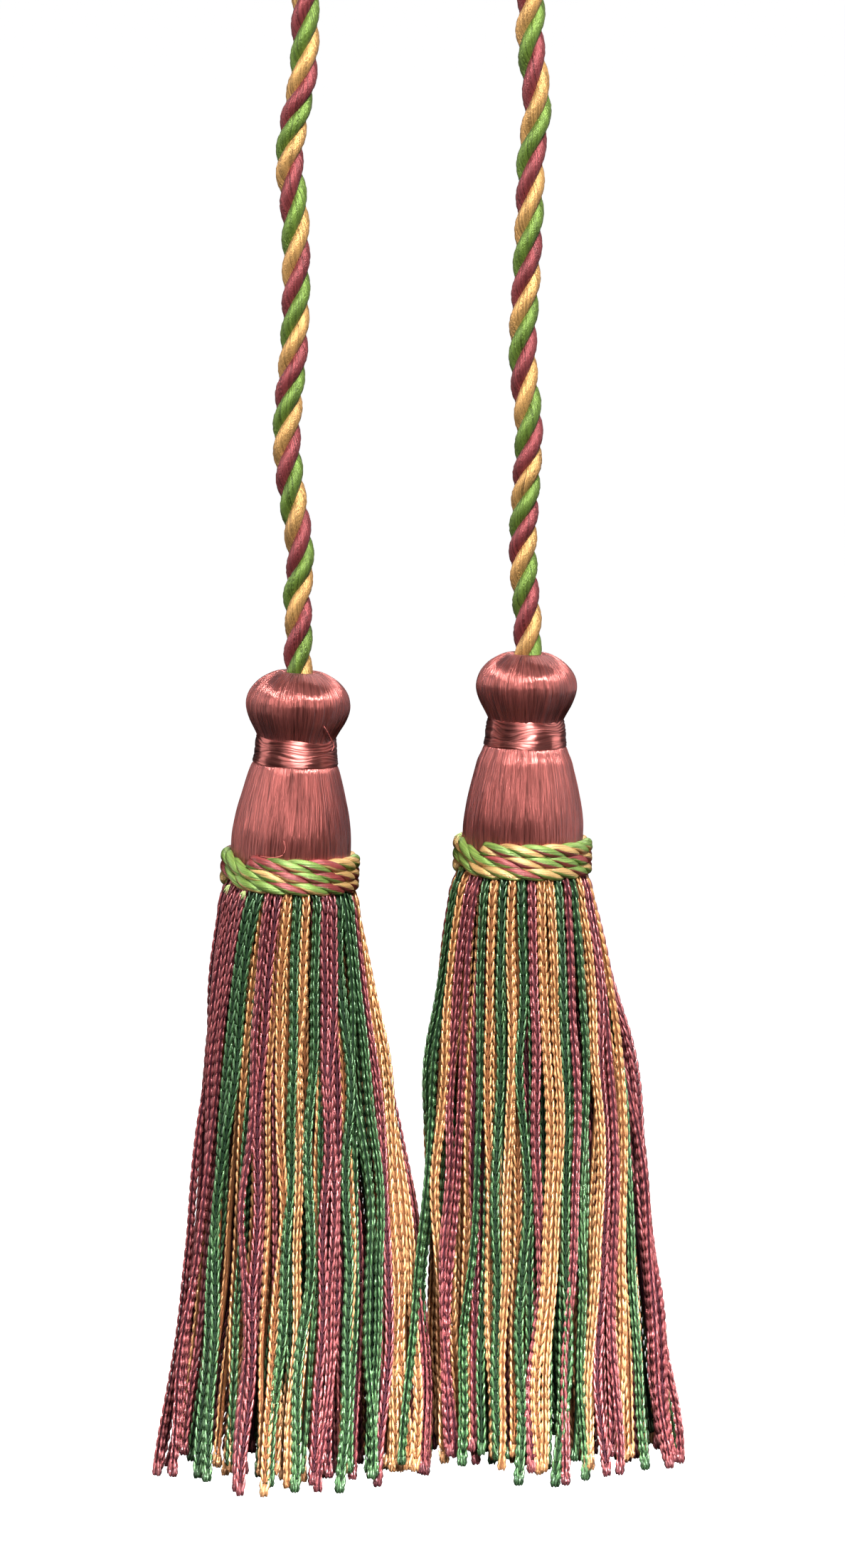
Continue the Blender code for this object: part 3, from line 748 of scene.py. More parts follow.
def resample(points, spacing):
    """Points at equal steps, near the spacing asked for, along a fine polyline."""
    reach = [0.0]
    for start, end in zip(points, points[1:]):
        reach.append(reach[-1] + (end - start).length)
    steps = round(reach[-1] / spacing)
    evenly = []
    index = 0
    for step in range(steps + 1):
        target = reach[-1] * step / steps
        while index < len(points) - 2 and reach[index + 1] < target:
            index += 1
        share = (target - reach[index]) / (reach[index + 1] - reach[index])
        evenly.append(points[index].lerp(points[index + 1], share))
    return evenly


def tangents(path):
    """The direction of a path at each of its points."""
    ahead = [*path[1:], path[-1]]
    behind = [path[0], *path[:-1]]
    return [(after - before).normalized() for before, after in zip(behind, ahead)]


def path_length(path):
    """Length of a polyline."""
    return sum((end - start).length for start, end in zip(path, path[1:]))


def ripple(row, around, along, seed):
    """Smooth noise on a round piece, at a place round it and a place along it."""
    third = along * row.along + row.sign * seed
    return noise.noise(Vector((around.x * row.round, around.y * row.round, third)))


# Twisted cords
def add_ply(skin, centres, outward, ply, number, finish=0, yarn_at=None, flats=None):
    """Sweep one ply along its centres: thread runs round it with the ply's own twist."""
    seed = ply.seed + number
    along = 0.0
    for index, (centre, direction, out) in enumerate(zip(centres, tangents(centres), outward)):
        if index:
            along += (centre - centres[index - 1]).length
        side = direction.cross(out).normalized()
        out = side.cross(direction)
        flat = flats[index] if flats else 1.0
        swell = noise.noise(Vector((seed, along * SWELLS_PER_METRE, 0.0)))
        rows = []
        for corner in range(ply.sides):
            angle = TURN * corner / ply.sides
            wound = angle + ply.twist * along
            thread = Vector((math.cos(wound), math.sin(wound), 0.0)) * (ply.radius / MM)
            thread.z = along / MM
            lump = ripple(PLY_LUMPS, thread, thread.z, seed)
            reach = ply.radius * (1 + PLY_LUMPS.height * lump + SWELL_SHARE * swell)
            point = centre + (out * math.cos(angle) + side * math.sin(angle) * flat) * reach
            thread.x += seed * SEED_STEP
            yarn = yarn_at(index, angle) if yarn_at else PLAIN_YARN
            # Painted shade: darker where a lump sinks in, lighter where it stands out.
            rows.append((point, thread, GROOVE_SHADE_LEVEL + PLY_LUMPS.groove * lump, yarn))
        skin.grow(rows, finish, direction * ply.twist * ply.radius)
    skin.cap(finish)


def cord_knots():
    """The route with its two ends seated in the heads' dimples."""
    knots = [Vector((knot.x * MM, 0.0, knot.z * MM)) for knot in ROUTE]
    left, right = (
        foot_of(tassel) + lean_of(tassel) @ Vector((0.0, 0.0, DIMPLE_FLOOR + tassel.longer + SEAM))
        for tassel in TASSELS
    )
    return [left, *knots, right]


def index_at_height(path, side, height):
    """Where one leg of the path passes a height, as a point's index with its fraction."""
    for index, (start, end) in enumerate(zip(path, path[1:])):
        on_leg = (start.x < 0) == (side == "left")
        if on_leg and min(start.z, end.z) <= height <= max(start.z, end.z):
            return index + (height - start.z) / (end.z - start.z)


def cord_turns(path):
    """The twist at each point of the path, in turns: a whole number where the rose ply is in front."""
    step = (path[1] - path[0]).length
    left, right = (
        [index_at_height(path, side, height * MM) for height in heights]
        for side, heights in ROSE_FRONTS.items()
    )
    arch = round((right[0] - left[-1]) * step / CORD_LAY)
    turns = [*range(len(left)), *range(len(left) - 1 + arch, len(left) - 1 + arch + len(right))]
    end = len(path) - 1
    marks = [
        (0.0, -left[0] * step / CORD_LAY),
        *zip([*left, *right], turns),
        (end, turns[-1] + (end - right[-1]) * step / CORD_LAY),
    ]
    return [turn_between(marks, index) for index in range(len(path))]


def turn_between(marks, index):
    """Even twist between two marks of the path."""
    for (start, start_turn), (end, end_turn) in zip(marks, marks[1:]):
        if index <= end:
            return start_turn + (end_turn - start_turn) * (index - start) / (end - start)


def make_cord(materials):
    """The three-ply cord: rose, gold and green plies laid round one another."""
    path = smooth_path(cord_knots(), CORD_STEP)
    turns = cord_turns(path)
    front = Vector((0.0, -1.0, 0.0))
    skin = Skin()
    for number in range(PLIES):
        outward = []
        for direction, turn in zip(tangents(path), turns):
            angle = TURN * (turn - number / PLIES)
            outward.append(front * math.cos(angle) + direction.cross(front) * math.sin(angle))
        centres = [point + out * (CORD_RADIUS - CORD_PLY.radius) for point, out in zip(path, outward)]
        add_ply(skin, centres, outward, CORD_PLY, number, finish=number)
    cord = skin.piece("tieback_cord", materials)
    path_length(path)
    return settle(cord, "cord", "cord")


# Heads and neck bands
def outline(profile, tassel, spacing):
    """Even points on a turned piece's half outline, with one tassel's girth and its length of skirt."""
    knots = []
    for turn in profile:
        height = turn.height * MM
        above_skirt = height > NECK_HEIGHT
        girth = tassel.girth if above_skirt and turn.radius > DIMPLE_RADIUS else 1.0
        up_skirt = max(0.0, (height - SKIRT_FOOT) / (SKIRT_TOP - SKIRT_FOOT))
        lift = tassel.longer if above_skirt else tassel.longer * up_skirt
        knots.append(Vector((turn.radius * girth * MM, 0.0, height + lift)))
    return smooth_path(knots, spacing)


def turned_skin(rows, columns, surface):
    """Rings round an axis, one for each point of an outline; surface gives each point of a ring."""
    skin = Skin()
    for index, turn in enumerate(rows):
        skin.grow([surface(index, turn, TURN * column / columns) for column in range(columns)])
    return skin


def floss_point(seed, index, turn, angle):
    """One point of a head: floss in bundles and finer locks that wander a little on their way down."""
    along = index * HEAD_STEP
    round_axis = Vector((math.cos(angle), math.sin(angle), 0.0))
    laid = angle + FLOSS_WANDER.height * ripple(FLOSS_WANDER, round_axis, along, seed)
    circle = Vector((math.cos(laid), math.sin(laid), 0.0))
    waves = [ripple(row, circle, along, seed) for row in FLOSS_RIPPLES]
    relief = sum(row.height * wave for row, wave in zip(FLOSS_RIPPLES, waves))
    # Painted shade: darker in the floss's hollows, lighter on its raised bundles and locks.
    groove = sum(row.groove * wave for row, wave in zip(FLOSS_RIPPLES, waves))
    deep = min(1.0, turn.x / FULL_RELIEF_RADIUS) ** 2
    point = round_axis * (turn.x + relief * deep * MM)
    point.z = turn.z
    thread = circle * FLOSS_THREAD_RING
    thread.z = along
    return point, thread, GROOVE_SHADE_LEVEL + groove, PLAIN_YARN


def make_head(tassel, material):
    """Floss laid lengthwise over the mould, drawn in at the neck, and hanging as a skirt below it."""
    rows = outline(HEAD_PROFILE, tassel, HEAD_STEP * MM)
    skin = turned_skin(rows, HEAD_COLUMNS, partial(floss_point, len(tassel.side)))
    skin.cap()
    piece = place_on_axis(skin.piece(f"head_floss_{tassel.side}", [material]), tassel)
    return settle(piece, "head_thread", f"head_{tassel.side}")


def winding_point(seed, count, index, turn, angle):
    """One point of a neck band: bundles of thread wound round, which drift and cross a little."""
    down = index / count
    around = Vector((math.cos(angle), math.sin(angle), 0.0))
    drift = ripple(BAND_DRIFT, around, down, seed)
    crossing = ripple(BAND_CROSSING, around, down, seed)
    wind = (down + DRIFT_SHARE * drift + CROSSING_SHARE * crossing) * BAND_BUNDLES + angle / TURN
    crest = abs(math.sin(math.pi * wind)) ** CREST_SHARPNESS
    fine = ripple(BAND_FINE, around, wind, seed)
    swell = ripple(BAND_SWELL, around, down, seed)
    edge = min(1.0, BAND_EDGE_ROWS * min(down, 1 - down))
    relief = CREST_HEIGHT * crest + BAND_FINE.height * fine + BAND_DRIFT.height * drift
    relief += BAND_SWELL.height * swell - BAND_SINK
    point = around * (turn.x + relief * edge * MM)
    point.z = turn.z + BAND_SAG * drift * MM
    thread = Vector((wind * WINDING_PER_BUNDLE, 0.0, angle * WINDING_PER_RADIAN))
    # Painted shade: lighter on the bundles' crests, darker in the valleys between them.
    groove = BAND_SHADE_LEVEL + CREST_SHADE * crest + BAND_FINE.groove * fine
    return point, thread, groove, PLAIN_YARN


def make_band(tassel, material):
    """Thread wound round and round the neck."""
    rows = outline(BAND_PROFILE, tassel, BAND_GIRTH / BAND_ROWS)
    skin = turned_skin(rows, BAND_COLUMNS, partial(winding_point, 3 * len(tassel.side), len(rows)))
    skin.bridge(skin.last, skin.first)
    piece = place_on_axis(skin.piece(f"band_winding_{tassel.side}", [material], wound=True), tassel)
    return settle(piece, "band_thread", f"neck_band_{tassel.side}")


# Collars
def bulge_yarns(tassel, place, number):
    """Main and edge yarn of one bulge of the collar cord: by the table in front, by a cycle behind."""
    row = round(COLLAR_ROWS - (place.z - COLLAR_FOOT) / COLLAR_PITCH)
    front = COLLAR_BULGES[tassel.side].get(row)
    if place.y < 0 and front:
        nearest = min(front, key=lambda bulge: abs(bulge.x * MM - place.x))
        return nearest.main, nearest.edge
    return BULGE_CYCLE[number % len(BULGE_CYCLE)], BULGE_CYCLE[(number + 2) % len(BULGE_CYCLE)]


def ply_bulges(tassel, path, turns, ply):
    """The yarns of one ply's bulges, by the number of its turn: it bulges at each whole turn."""
    crests = {}
    for index, turn in enumerate(turns):
        number = round(turn)
        if number not in crests or abs(turn - number) < abs(turns[crests[number]] - number):
            crests[number] = index
    return {
        number: bulge_yarns(tassel, path[index], PLIES * number + ply) for number, index in crests.items()
    }


def collar_yarn(bulges, turns, index, angle):
    """Colour round a ply at one of its rings: the main yarn, with the other along its lower edge."""
    main, edge = bulges[round(turns[index])]
    facing = angle + TURN * turns[index]
    share = min(1.0, max(0.0, (math.sin(facing + EDGE_TURNED) - EDGE_FROM) * EDGE_STEEPNESS + 0.5))
    return Vector(YARN_SHARES[main]).lerp(Vector(YARN_SHARES[edge]), share)


def jog_share(past_start):
    """Share of a row's step down, from 0 before the step to 1 after it."""
    share = min(1.0, max(0.0, past_start / COLLAR_JOG + 1))
    return share * share * (3 - 2 * share)


def collar_path():
    """The collar cord's centre line: level rows that step down one row at the left front."""
    sweep = COLLAR_ROWS * TURN - COLLAR_JOG
    steps = round(sweep * COLLAR_RING / COLLAR_STEP)
    path = []
    for step in range(steps + 1):
        travelled = sweep * step / steps
        angle = COLLAR_START + travelled
        rows_down = sum(jog_share(travelled - row * TURN) for row in range(1, COLLAR_ROWS))
        height = COLLAR_FOOT + (COLLAR_ROWS - 1 - rows_down) * COLLAR_PITCH
        path.append(Vector((COLLAR_RING * math.sin(angle), -COLLAR_RING * math.cos(angle), height)))
    return path


def make_collar(tassel, material):
    """The thin three-ply cord wound round the skirt's foot in one length."""
    path = collar_path()
    turns_in_all = path_length(path) / (TURN * COLLAR_RING) * COLLAR_TURNS
    skin = Skin()
    for number in range(PLIES):
        turns = [turns_in_all * index / (len(path) - 1) + number / PLIES for index in range(len(path))]
        outward = []
        centres = []
        for point, direction, turn in zip(path, tangents(path), turns):
            axis = Vector((point.x, point.y, 0.0)).normalized()
            forth = axis * math.cos(TURN * turn)
            up = direction.cross(axis) * math.sin(TURN * turn)
            outward.append(forth + up)
            centres.append(point + forth * COLLAR_SPREAD + up * COLLAR_RISE)
        yarn_at = partial(collar_yarn, ply_bulges(tassel, path, turns, number), turns)
        flats = [1 + COLLAR_FLAT * math.cos(TURN * turn) for turn in turns]
        add_ply(skin, centres, outward, COLLAR_PLY, number, yarn_at=yarn_at, flats=flats)
    piece = place_on_axis(skin.piece(f"collar_rope_{tassel.side}", [material]), tassel)
    return settle(piece, "collar_cord", f"collar_{tassel.side}")


def make_thread(name, spots, tassel, material):
    """A fine loose thread that lies on the piece below it."""
    path = smooth_path([Vector(spot) * MM for spot in spots], THREAD_STEP)
    strand = bmesh.new()
    add_spindle(strand, path, [THREAD_RADIUS] * len(path))
    piece = place_on_axis(add_shell(name, strand, material), tassel)
    return settle(piece, "head_thread", f"head_{tassel.side}")


def make_frays(tassel, material):
    """The cut ends of the collar cord, opened into short fibres."""
    rng = random.Random(f"frays {tassel.side}")
    frays = bmesh.new()
    for spot in FRAYS[tassel.side]:
        start = Vector(spot) * MM
        away = Vector((spot.x, spot.y, 0.0)).normalized()
        for _ in range(FRAY_FIBRES):
            fan = Vector((rng.uniform(-1, 1), rng.uniform(-1, 1), rng.uniform(-1, 1)))
            reach = (fan * FRAY_FAN + away * FRAY_AWAY + FRAY_FALL) * rng.uniform(*FRAY_LENGTHS) * MM
            add_spindle(frays, [start, start + reach * 0.5, start + reach + FRAY_BEND], FRAY_RADII)
    piece = place_on_axis(add_shell(f"collar_ends_{tassel.side}", frays, material), tassel)
    return settle(piece, "collar_cord", f"collar_{tassel.side}")


# Strands
Strand = namedtuple("Strand", "yarn level points")

# A strand's run, where it has one, and its angles at the root, half way down and at the tips.
Course = namedtuple("Course", "run angles")


def spread_at(side, fall):
    """Half width of the fringe and the side step of its middle, at a fall below the collar."""
    rows = SPREAD[side]
    fall_mm = min(fall / MM, rows[-1].fall)
    for upper, lower in zip(rows, rows[1:]):
        if fall_mm <= lower.fall:
            share = (fall_mm - upper.fall) / (lower.fall - upper.fall)
            half_width = upper.half_width + (lower.half_width - upper.half_width) * share
            sway = upper.sway + (lower.sway - upper.sway) * share
            return half_width * MM, sway * MM


def front_courses(side):
    """Run and angles, half way down and at the tips, of the outer layer's front strands."""
    courses = []
    for run in FRONT_RUNS[side]:
        for index in range(run.strands):
            offset = index - (run.strands - 1) / 2
            courses.append((run, run.half_way + offset * LOCK_HALF_WAY, run.tips + offset * LOCK_TIPS))
    return courses


def layer_courses(side, level):
    """The courses of a layer's strands: by the runs in front, evenly spread elsewhere."""
    count = LAYERS[level].strands
    roots = [FIRST_ROOT + 360 / count * (index + 0.5) for index in range(count)]
    front = front_courses(side)
    if level > 0:
        half_turned = sum(run.half_way for run, _, _ in front) / len(front)
        tips_turned = sum(run.tips for run, _, _ in front) / len(front)
        return [Course(None, (root, root + half_turned, root + tips_turned)) for root in roots]
    courses = [Course(run, (root, half, tips)) for root, (run, half, tips) in zip(roots, front)]
    _, first_half, first_tips = front[0]
    _, last_half, last_tips = front[-1]
    for index, root in enumerate(roots[len(front):]):
        share = (index + 1) / (count - len(front) + 1)
        half = last_half + (360 + first_half - last_half) * share
        tips = last_tips + (360 + first_tips - last_tips) * share
        courses.append(Course(None, (root, half, tips)))
    return courses


def turned_angle(angles, fall, length):
    """A strand's angle at a fall: a smooth curve through its three stated angles."""
    root, half, tips = angles
    share = fall / length
    middle = HALF_WAY / length
    at_root = (share - middle) * (share - 1) / middle
    at_middle = share * (share - 1) / (middle * (middle - 1))
    at_tips = share * (share - middle) / (1 - middle)
    return (root * at_root + half * at_middle + tips * at_tips) * DEGREE


def layer_reach(layer, half_width, share):
    """Distance from the axis at a share of a strand's length: the outer layer follows the outline."""
    reach = (half_width - STRAND_WIDTH / 2) * layer.share
    if layer.share == 1:
        return reach
    return layer.root + (reach - layer.root) * min(1.0, share / ROOT_SHARE)


def strand_points(tassel, layer, course, rng):
    """Centre line of one strand, from inside the heading down to its tip."""
    shorter = course.run.shorter * MM if course.run else 0.0
    over = course.run.over * MM if course.run else 0.0
    length = layer.length + tassel.longer - shorter - rng.uniform(0, STRAND_TRIM)
    wave = rng.uniform(LEAST_WAVE, 1.0) * STRAND_WAVE
    phase = rng.uniform(0, TURN)
    points = []
    for step in layer.steps:
        share = step / 100
        fall = share * length
        half_width, sway = spread_at(tassel.side, fall)
        loose = min(1.0, fall / HALF_WAY)
        reach = layer_reach(layer, half_width, share) + over * share * share
        reach += loose * wave * math.sin(phase + STRAND_WAVES * share)
        angle = turned_angle(course.angles, fall, length)
        points.append(Vector((sway + reach * math.sin(angle), -reach * math.cos(angle), ROOT_DEPTH - fall)))
    return hang_from(tassel, points)


def hang_from(tassel, points):
    """Place a strand: the root follows the leaning heading, the rest hangs plumb; the fringes stay apart."""
    level_root = Vector((points[0].x, points[0].y, 0.0))
    step = lean_of(tassel) @ level_root - level_root
    placed = [foot_of(tassel) + point + step for point in points]
    for point in placed:
        point.x = keep_apart(tassel, point)
    return placed


def keep_apart(tassel, world):
    """Hold the two fringes apart where they lean on each other."""
    if tassel.side == "left":
        return min(world.x, FRINGE_SPLIT - SPLIT_CLEARANCE)
    crosses = world.y < CROSSING_FRONT and world.z < tassel.z - CROSSING_FALL
    return world.x if crosses else max(world.x, FRINGE_SPLIT + SPLIT_CLEARANCE)


def yarn_of(side, level, run, index):
    """Colour of a strand: by its run in front, by a list just behind, by a cycle elsewhere."""
    if run:
        return run.yarn
    if level == 1 and index < len(BEHIND_RUNS[side]):
        return BEHIND_RUNS[side][index]
    return YARN_CYCLE[(index + 3 * level) % len(YARN_CYCLE)]


def fringe_strands(tassel):
    """Every strand of one tassel's fringe."""
    rng = random.Random(f"fringe {tassel.side}")
    strands = []
    for level, layer in enumerate(LAYERS):
        for index, course in enumerate(layer_courses(tassel.side, level)):
            yarn = yarn_of(tassel.side, level, course.run, index)
            strands.append(Strand(yarn, level, strand_points(tassel, layer, course, rng)))
    return strands


def lining_strands(tassel, rng):
    """Strands behind the outer layer's gaps: two behind a wide one, none behind the narrowest."""
    outer = layer_courses(tassel.side, 0)
    gaps = [*((before, after, 0) for before, after in zip(outer, outer[1:])), (outer[-1], outer[0], 360)]
    widths = [sum(after.angles[1:]) - sum(before.angles[1:]) + 2 * wrap for before, after, wrap in gaps]
    ranked = sorted(range(len(widths)), key=widths.__getitem__)
    narrow = ranked[:LINING_DOUBLED]
    wide = ranked[-LINING_DOUBLED:]
    strands = []
    for index, (before, after, wrap) in enumerate(gaps):
        shares = (1 / 3, 2 / 3) if index in wide else () if index in narrow else (1 / 2,)
        for order, share in enumerate(shares):
            ends = zip(before.angles, after.angles)
            between = [first + (second + wrap - first) * share for first, second in ends]
            points = strand_points(tassel, LINING, Course(None, between), rng)
            neighbour = yarn_of(tassel.side, 0, before.run, index)
            yarn = "gold" if index in wide and order == 0 else neighbour
            strands.append(Strand(yarn, len(LAYERS), points))
    return strands


# Knit
def make_stitch(name, front, back=()):
    """One stitch of chainette: two legs in front and two behind. Z runs down the strand, Y outwards."""
    stitch = bmesh.new()
    for side in (1, -1):
        for stations, out in ((front, 1), (back, -1)):
            if stations:
                centres = [Vector((row.side * side, row.out * out, row.along)) * MM for row in stations]
                radii = [row.radius * MM for row in stations]
                add_spindle(stitch, centres, radii, facing=Vector((LEG_SLANT * side, out, 0.0)), turned=0.5)
    piece = add_shell(name, stitch)
    places = [vertex.co / MM for vertex in piece.data.vertices]
    # Painted shade: each vertex's painted light fades down the leg and towards the strand's middle.
    faded = [FADE_ALONG * max(0.0, place.z - LIT_ALONG) + FADE_INWARD * max(0.0, LIT_OUT - abs(place.y))
             for place in places]
    add_attribute(piece.data, "lit", "FLOAT", [max(0.0, 1.0 - fade) for fade in faded])
    return piece


def make_tuft():
    """The cut end of a strand: short fibres that close to a blunt end. Z runs down the strand."""
    tuft = bmesh.new()
    rng = random.Random("tuft")
    for index in range(TUFT_FIBRES):
        angle = TURN * index / TUFT_FIBRES
        turned = angle + rng.uniform(-TUFT_TURNED, TUFT_TURNED)
        trimmed = rng.uniform(*TUFT_TRIMMED)
        centres = []
        for tip in TUFT_TIPS:
            is_end = tip is TUFT_TIPS[-1]
            turn = turned if is_end else angle
            reach = tip.reach if index else 0.0
            along = tip.along * trimmed if is_end else tip.along
            centres.append(Vector((reach * math.cos(turn), reach * math.sin(turn), along)) * MM)
        add_spindle(tuft, centres, [tip.radius * MM for tip in TUFT_TIPS])
    piece = add_shell("tuft", tuft)
    # Painted shade: the whole tuft gets one dim painted light.
    add_attribute(piece.data, "lit", "FLOAT", [TUFT_LIT] * len(piece.data.vertices))
    return piece


def wander(*place):
    """A smooth random side step, the same at each run."""
    place = Vector(place)
    return Vector((noise.noise(place), noise.noise(place + OTHER_WAY), 0.0))


def knit_path(strand, tassel, lift, rng):
    """A strand's centre line for the knit: it starts inside the collar and sways a little further down."""
    root = strand.points[0].copy()
    inward = Vector((tassel.x - root.x, -root.y, 0.0)).normalized()
    root += Vector((0.0, 0.0, KNIT_LIFT + lift)) + inward * (KNIT_TUCK + lift * TUCK_PER_LIFT)
    points = smooth_path([root, *strand.points], KNIT_STEP)
    seed = rng.random() * WANDER_SEEDS
    for index, point in enumerate(points):
        walked = index * KNIT_STEP
        sway = wander(seed, walked * SWAYS_PER_METRE, SWAY_PLACE) * SWAY_REACH * min(1.0, walked / FREE_FALL)
        drift = wander(seed, walked * DRIFTS_PER_METRE, DRIFT_PLACE) * DRIFT_REACH * (index / len(points))
        point += (sway + drift) * hang_of(strand).looseness
    return points


def hang_of(strand):
    """How a strand hangs: the outer layer is the loosest."""
    return OUTER_HANG if strand.level == 0 else INNER_HANG


def strand_lines(name, strands, tassel, rng):
    """Lines for some strands, each point with the direction that its knit's front faces and its fall."""
    points = []
    edges = []
    outward = []
    fall = []
    for number, strand in enumerate(strands):
        lift = number * GOLDEN_STEP % 1 * STITCH_PITCH
        line = knit_path(strand, tassel, lift, rng)
        edges += [(index, index + 1) for index in range(len(points), len(points) + len(line) - 1)]
        roll = rng.gauss(0, hang_of(strand).roll) * DEGREE
        turning = rng.gauss(0, TURNING) * DEGREE
        for index, point in enumerate(line):
            share = index / len(line)
            _, sway = spread_at(tassel.side, max(0.0, tassel.z - point.z))
            away = Vector((point.x - tassel.x - sway, point.y, 0.0)).normalized()
            outward.append(Matrix.Rotation(roll + turning * share, 3, "Z") @ away)
            fall.append(share)
        points += line
    mesh = bpy.data.meshes.new(name)
    mesh.from_pydata(points, edges, [])
    add_attribute(mesh, "outward", "FLOAT_VECTOR", outward)
    add_attribute(mesh, "fall", "FLOAT", fall)
    return add_object(name, mesh)


class Recipe:
    """A Geometry Nodes tree under construction."""

    def __init__(self, name, inputs):
        self.tree = bpy.data.node_groups.new(name, "GeometryNodeTree")
        self.keys = {}
        for label, kind in inputs.items():
            socket = self.tree.interface.new_socket(label, in_out="INPUT", socket_type="NodeSocket" + kind)
            self.keys[label] = socket.identifier
        self.tree.interface.new_socket("Geometry", in_out="OUTPUT", socket_type="NodeSocketGeometry")
        self.given = self.tree.nodes.new("NodeGroupInput").outputs
        self.end = self.tree.nodes.new("NodeGroupOutput")

    def node(self, kind, settings=None, output=0, **named):
        """Add a node: settings first, then sockets by name; returns one output."""
        made = self.tree.nodes.new(kind)
        for key, value in (settings or {}).items():
            setattr(made, key, value)
        for key, value in named.items():
            label = key.replace("_", " ")
            socket = next(item for item in made.inputs if item.name == label and item.enabled)
            if isinstance(value, bpy.types.NodeSocket):
                self.tree.links.new(value, socket)
            else:
                socket.default_value = value
        return made.outputs[output]

    def join(self, *parts):
        """Several geometries as one."""
        made = self.tree.nodes.new("GeometryNodeJoinGeometry")
        for part in parts:
            self.tree.links.new(part, made.inputs[0])
        return made.outputs[0]

    def attribute(self, name, kind="FLOAT"):
        """An attribute of the points."""
        return self.node("GeometryNodeInputNamedAttribute", {"data_type": kind}, Name=name)


def chainette_recipe():
    """Knitted yarn on every strand: a stitch at each step over a flat core, and a tuft at its end."""
    recipe = Recipe("chainette", {
        "Geometry": "Geometry", "Stitch": "Object", "Tuft": "Object", "Pitch": "Float", "Yarn": "Material",
        "Core": "Material", "Seed": "Int",
    })
    outward = recipe.attribute("outward", "FLOAT_VECTOR")
    strands = recipe.node("GeometryNodeMeshToCurve", Mesh=recipe.given["Geometry"])
    strands = recipe.node("GeometryNodeSetCurveNormal", {"mode": "FREE"}, Curve=strands, Normal=outward)
    spaced = recipe.node("GeometryNodeResampleCurve", {"mode": "LENGTH"}, Curve=strands,
                         Length=recipe.given["Pitch"])
    rotation = recipe.node("FunctionNodeAxesToRotation", {"primary_axis": "Z", "secondary_axis": "Y"},
                           Primary_Axis=recipe.node("GeometryNodeInputTangent"), Secondary_Axis=outward)
    fall = recipe.attribute("fall")
    wide, thick = (
        recipe.node("ShaderNodeMapRange", Value=fall, To_Min=1.0, To_Max=most) for most in LOOSE_KNIT
    )
    size = recipe.node("ShaderNodeCombineXYZ", X=wide, Y=thick, Z=1.0)
    last = recipe.node("GeometryNodeCurveEndpointSelection", Start_Size=0, End_Size=1)
    inner = recipe.node("FunctionNodeBooleanMath", {"operation": "NOT"}, Boolean=last)
    placed = recipe.join(*(
        recipe.node("GeometryNodeInstanceOnPoints", Points=spaced, Selection=selection, Rotation=rotation,
                    Scale=size, Instance=recipe.node("GeometryNodeObjectInfo", output=4, Object=shape))
        for shape, selection in ((recipe.given["Stitch"], inner), (recipe.given["Tuft"], last))
    ))
    tone = recipe.node("FunctionNodeRandomValue", {"data_type": "FLOAT"}, output=1,
                       Seed=recipe.given["Seed"])
    toned = recipe.node("GeometryNodeStoreNamedAttribute", {"data_type": "FLOAT", "domain": "INSTANCE"},
                        Geometry=placed, Name="tone", Value=tone)
    knitted = recipe.node("GeometryNodeRealizeInstances", Geometry=toned)
    circle = recipe.node("GeometryNodeCurvePrimitiveCircle", {"mode": "RADIUS"}, Resolution=4, Radius=1.0)
    oval = recipe.node("GeometryNodeTransform", Geometry=circle, Scale=CORE_SHAPE)
    core = recipe.node("GeometryNodeCurveToMesh", Curve=strands, Profile_Curve=oval, Fill_Caps=True)
    dressed = recipe.join(*(
        recipe.node("GeometryNodeSetMaterial", Geometry=part, Material=recipe.given[label])
        for part, label in ((knitted, "Yarn"), (core, "Core"))
    ))
    recipe.tree.links.new(dressed, recipe.end.inputs[0])
    return recipe


def grown(lines, recipe, settings):
    """The mesh that a recipe grows on some lines."""
    growth = lines.modifiers.new("Grow", "NODES")
    growth.node_group = recipe.tree
    for key, value in settings.items():
        growth[recipe.keys[key]] = value
    bpy.context.view_layer.update()
    depsgraph = bpy.context.evaluated_depsgraph_get()
    mesh = bpy.data.meshes.new_from_object(lines.evaluated_get(depsgraph))
    name = lines.name.removesuffix("_lines")
    bpy.data.objects.remove(lines, do_unlink=True)
    return add_object(name, mesh)


def make_fringe(tassel, recipe, stitches, finishes):
    """All strands of one tassel, as one knitted piece for each colour and depth."""
    rng = random.Random(f"knit {tassel.side}")
    strands = fringe_strands(tassel) + lining_strands(tassel, rng)
    for yarn in CHAINETTE:
        for label, levels in (("outer", (0,)), ("middle", (1, len(LAYERS))), ("inner", (2, 3))):
            chosen = [strand for strand in strands if strand.yarn == yarn and strand.level in levels]
            lines = strand_lines(f"chainette_{label}_{yarn}_{tassel.side}_lines", chosen, tassel, rng)
            piece = grown(lines, recipe, {
                "Stitch": stitches[label], "Tuft": stitches["tuft"], "Pitch": STITCH_PITCH,
                "Yarn": finishes[yarn], "Core": finishes["core_" + yarn], "Seed": rng.randrange(1000),
            })
            settle(piece, "fringe", f"fringe_{tassel.side}")


# Camera, light and backdrop
def aim(stage_object, place, direction):
    """Stand a camera or a light somewhere and turn it."""
    stage_object.location = place
    stage_object.rotation_euler = direction.to_track_quat("-Z", "Y").to_euler()


def make_camera():
    """A long lens that looks down a little, framed as in the picture."""
    data = bpy.data.cameras.new("camera")
    data.lens = LENS
    data.sensor_width = SENSOR
    data.clip_end = FAR_CLIP
    camera = add_object("camera", data)
    back = Vector((0.0, -math.cos(LOOK_DOWN), math.sin(LOOK_DOWN)))
    aim(camera, PICTURE_CENTRE + back * (PICTURE_HEIGHT * LENS / SENSOR), -back)
    bpy.context.scene.camera = camera


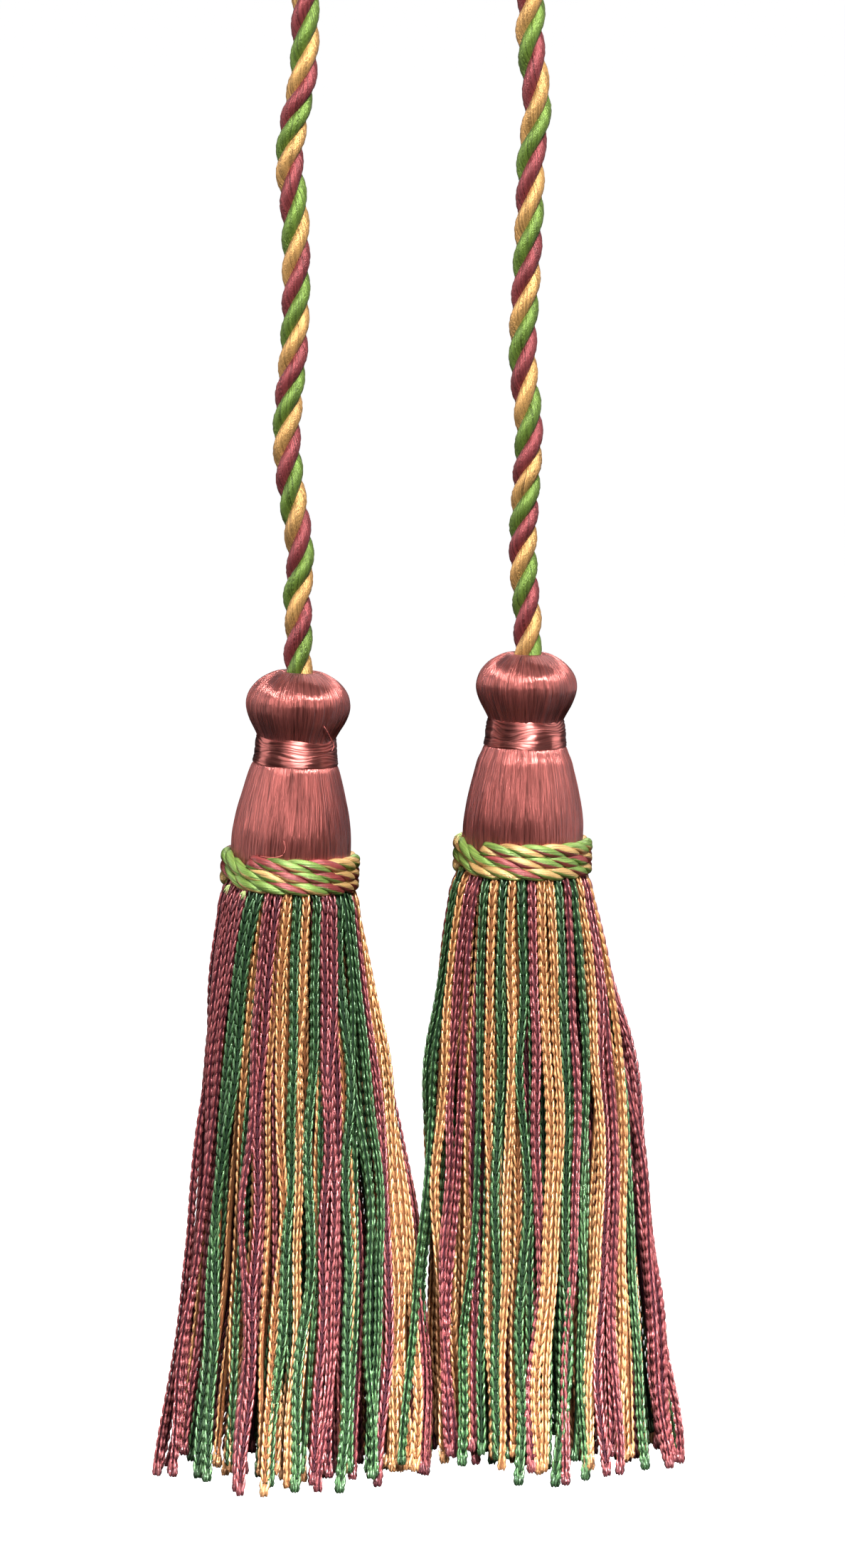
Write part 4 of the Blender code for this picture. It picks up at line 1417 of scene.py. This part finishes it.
def make_light():
    """Soft studio light from high in front, a little to the right, in a white room."""
    for box in SOFTBOXES:
        data = bpy.data.lights.new(box.name, "AREA")
        data.shape = "RECTANGLE"
        data.size, data.size_y = box.size
        data.energy = box.power
        data.spread = box.spread * DEGREE
        aim(add_object(box.name, data), box.place, Vector(box.target) - Vector(box.place))
    world = bpy.data.worlds.new("room")
    bpy.context.scene.world = world
    world.use_nodes = True
    background = world.node_tree.nodes["Background"].inputs
    background["Color"].default_value = (1.0, 1.0, 1.0, 1.0)
    background["Strength"].default_value = 1.0
    world.cycles_visibility.diffuse = False
    world.cycles_visibility.glossy = False
    bpy.context.scene.view_settings.view_transform = "Standard"


def make_floor():
    """A plain pale floor well below the tassels."""
    mesh = bpy.data.meshes.new("floor")
    signs = ((-1, -1), (1, -1), (1, 1), (-1, 1))
    corners = [(x * FLOOR_HALF, y * FLOOR_HALF, FLOOR_HEIGHT) for x, y in signs]
    mesh.from_pydata(corners, [], [(0, 1, 2, 3)])
    mesh.materials.append(Finish("floor").set(
        Base_Color=(0.95, 0.95, 0.95, 1.0),
        Roughness=0.9,
        Emission_Color=(1, 1, 1, 1),
        Emission_Strength=1.0,
    ))
    floor = add_object("floor", mesh)
    floor.visible_diffuse = False
    floor.visible_glossy = False


def make_tieback():
    """Every piece of the tieback."""
    satins = {name: satin_finish(name) for name in SATINS}
    collar = collar_finish()
    fray = plain_finish("frayed_yarn", FRAYED_YARN, 0.5)
    finishes = {}
    for name, yarn in CHAINETTE.items():
        finishes[name] = chainette_finish(f"chainette_{name}", yarn)
        # Painted shade: the core inside the knit takes the yarn's shadow colour.
        finishes["core_" + name] = plain_finish(f"core_{name}", yarn.shadow, 0.6)
    make_cord([satins[name] for name in CORD_SATINS])
    recipe = chainette_recipe()
    stitches = {
        "outer": make_stitch("stitch", LEG, BACK_LEG),
        "middle": make_stitch("middle_stitch", MIDDLE_LEG),
        "inner": make_stitch("plain_stitch", BACK_LEG),
        "tuft": make_tuft(),
    }
    for tassel in TASSELS:
        make_head(tassel, satins["rose_floss"])
        make_band(tassel, satins["rose_winding"])
        make_collar(tassel, collar)
        make_frays(tassel, fray)
        make_fringe(tassel, recipe, stitches, finishes)
    loose = plain_finish("loose_thread", shade(SATINS["rose_floss"].color, LOOSE_THREAD_LIGHTER), 0.4)
    make_thread("neck_thread", NECK_THREAD, TASSELS[0], loose)
    make_thread("collar_thread", COLLAR_THREAD, TASSELS[0], loose)
    for stitch in stitches.values():
        bpy.data.objects.remove(stitch, do_unlink=True)


make_camera()
make_light()
make_floor()
make_tieback()
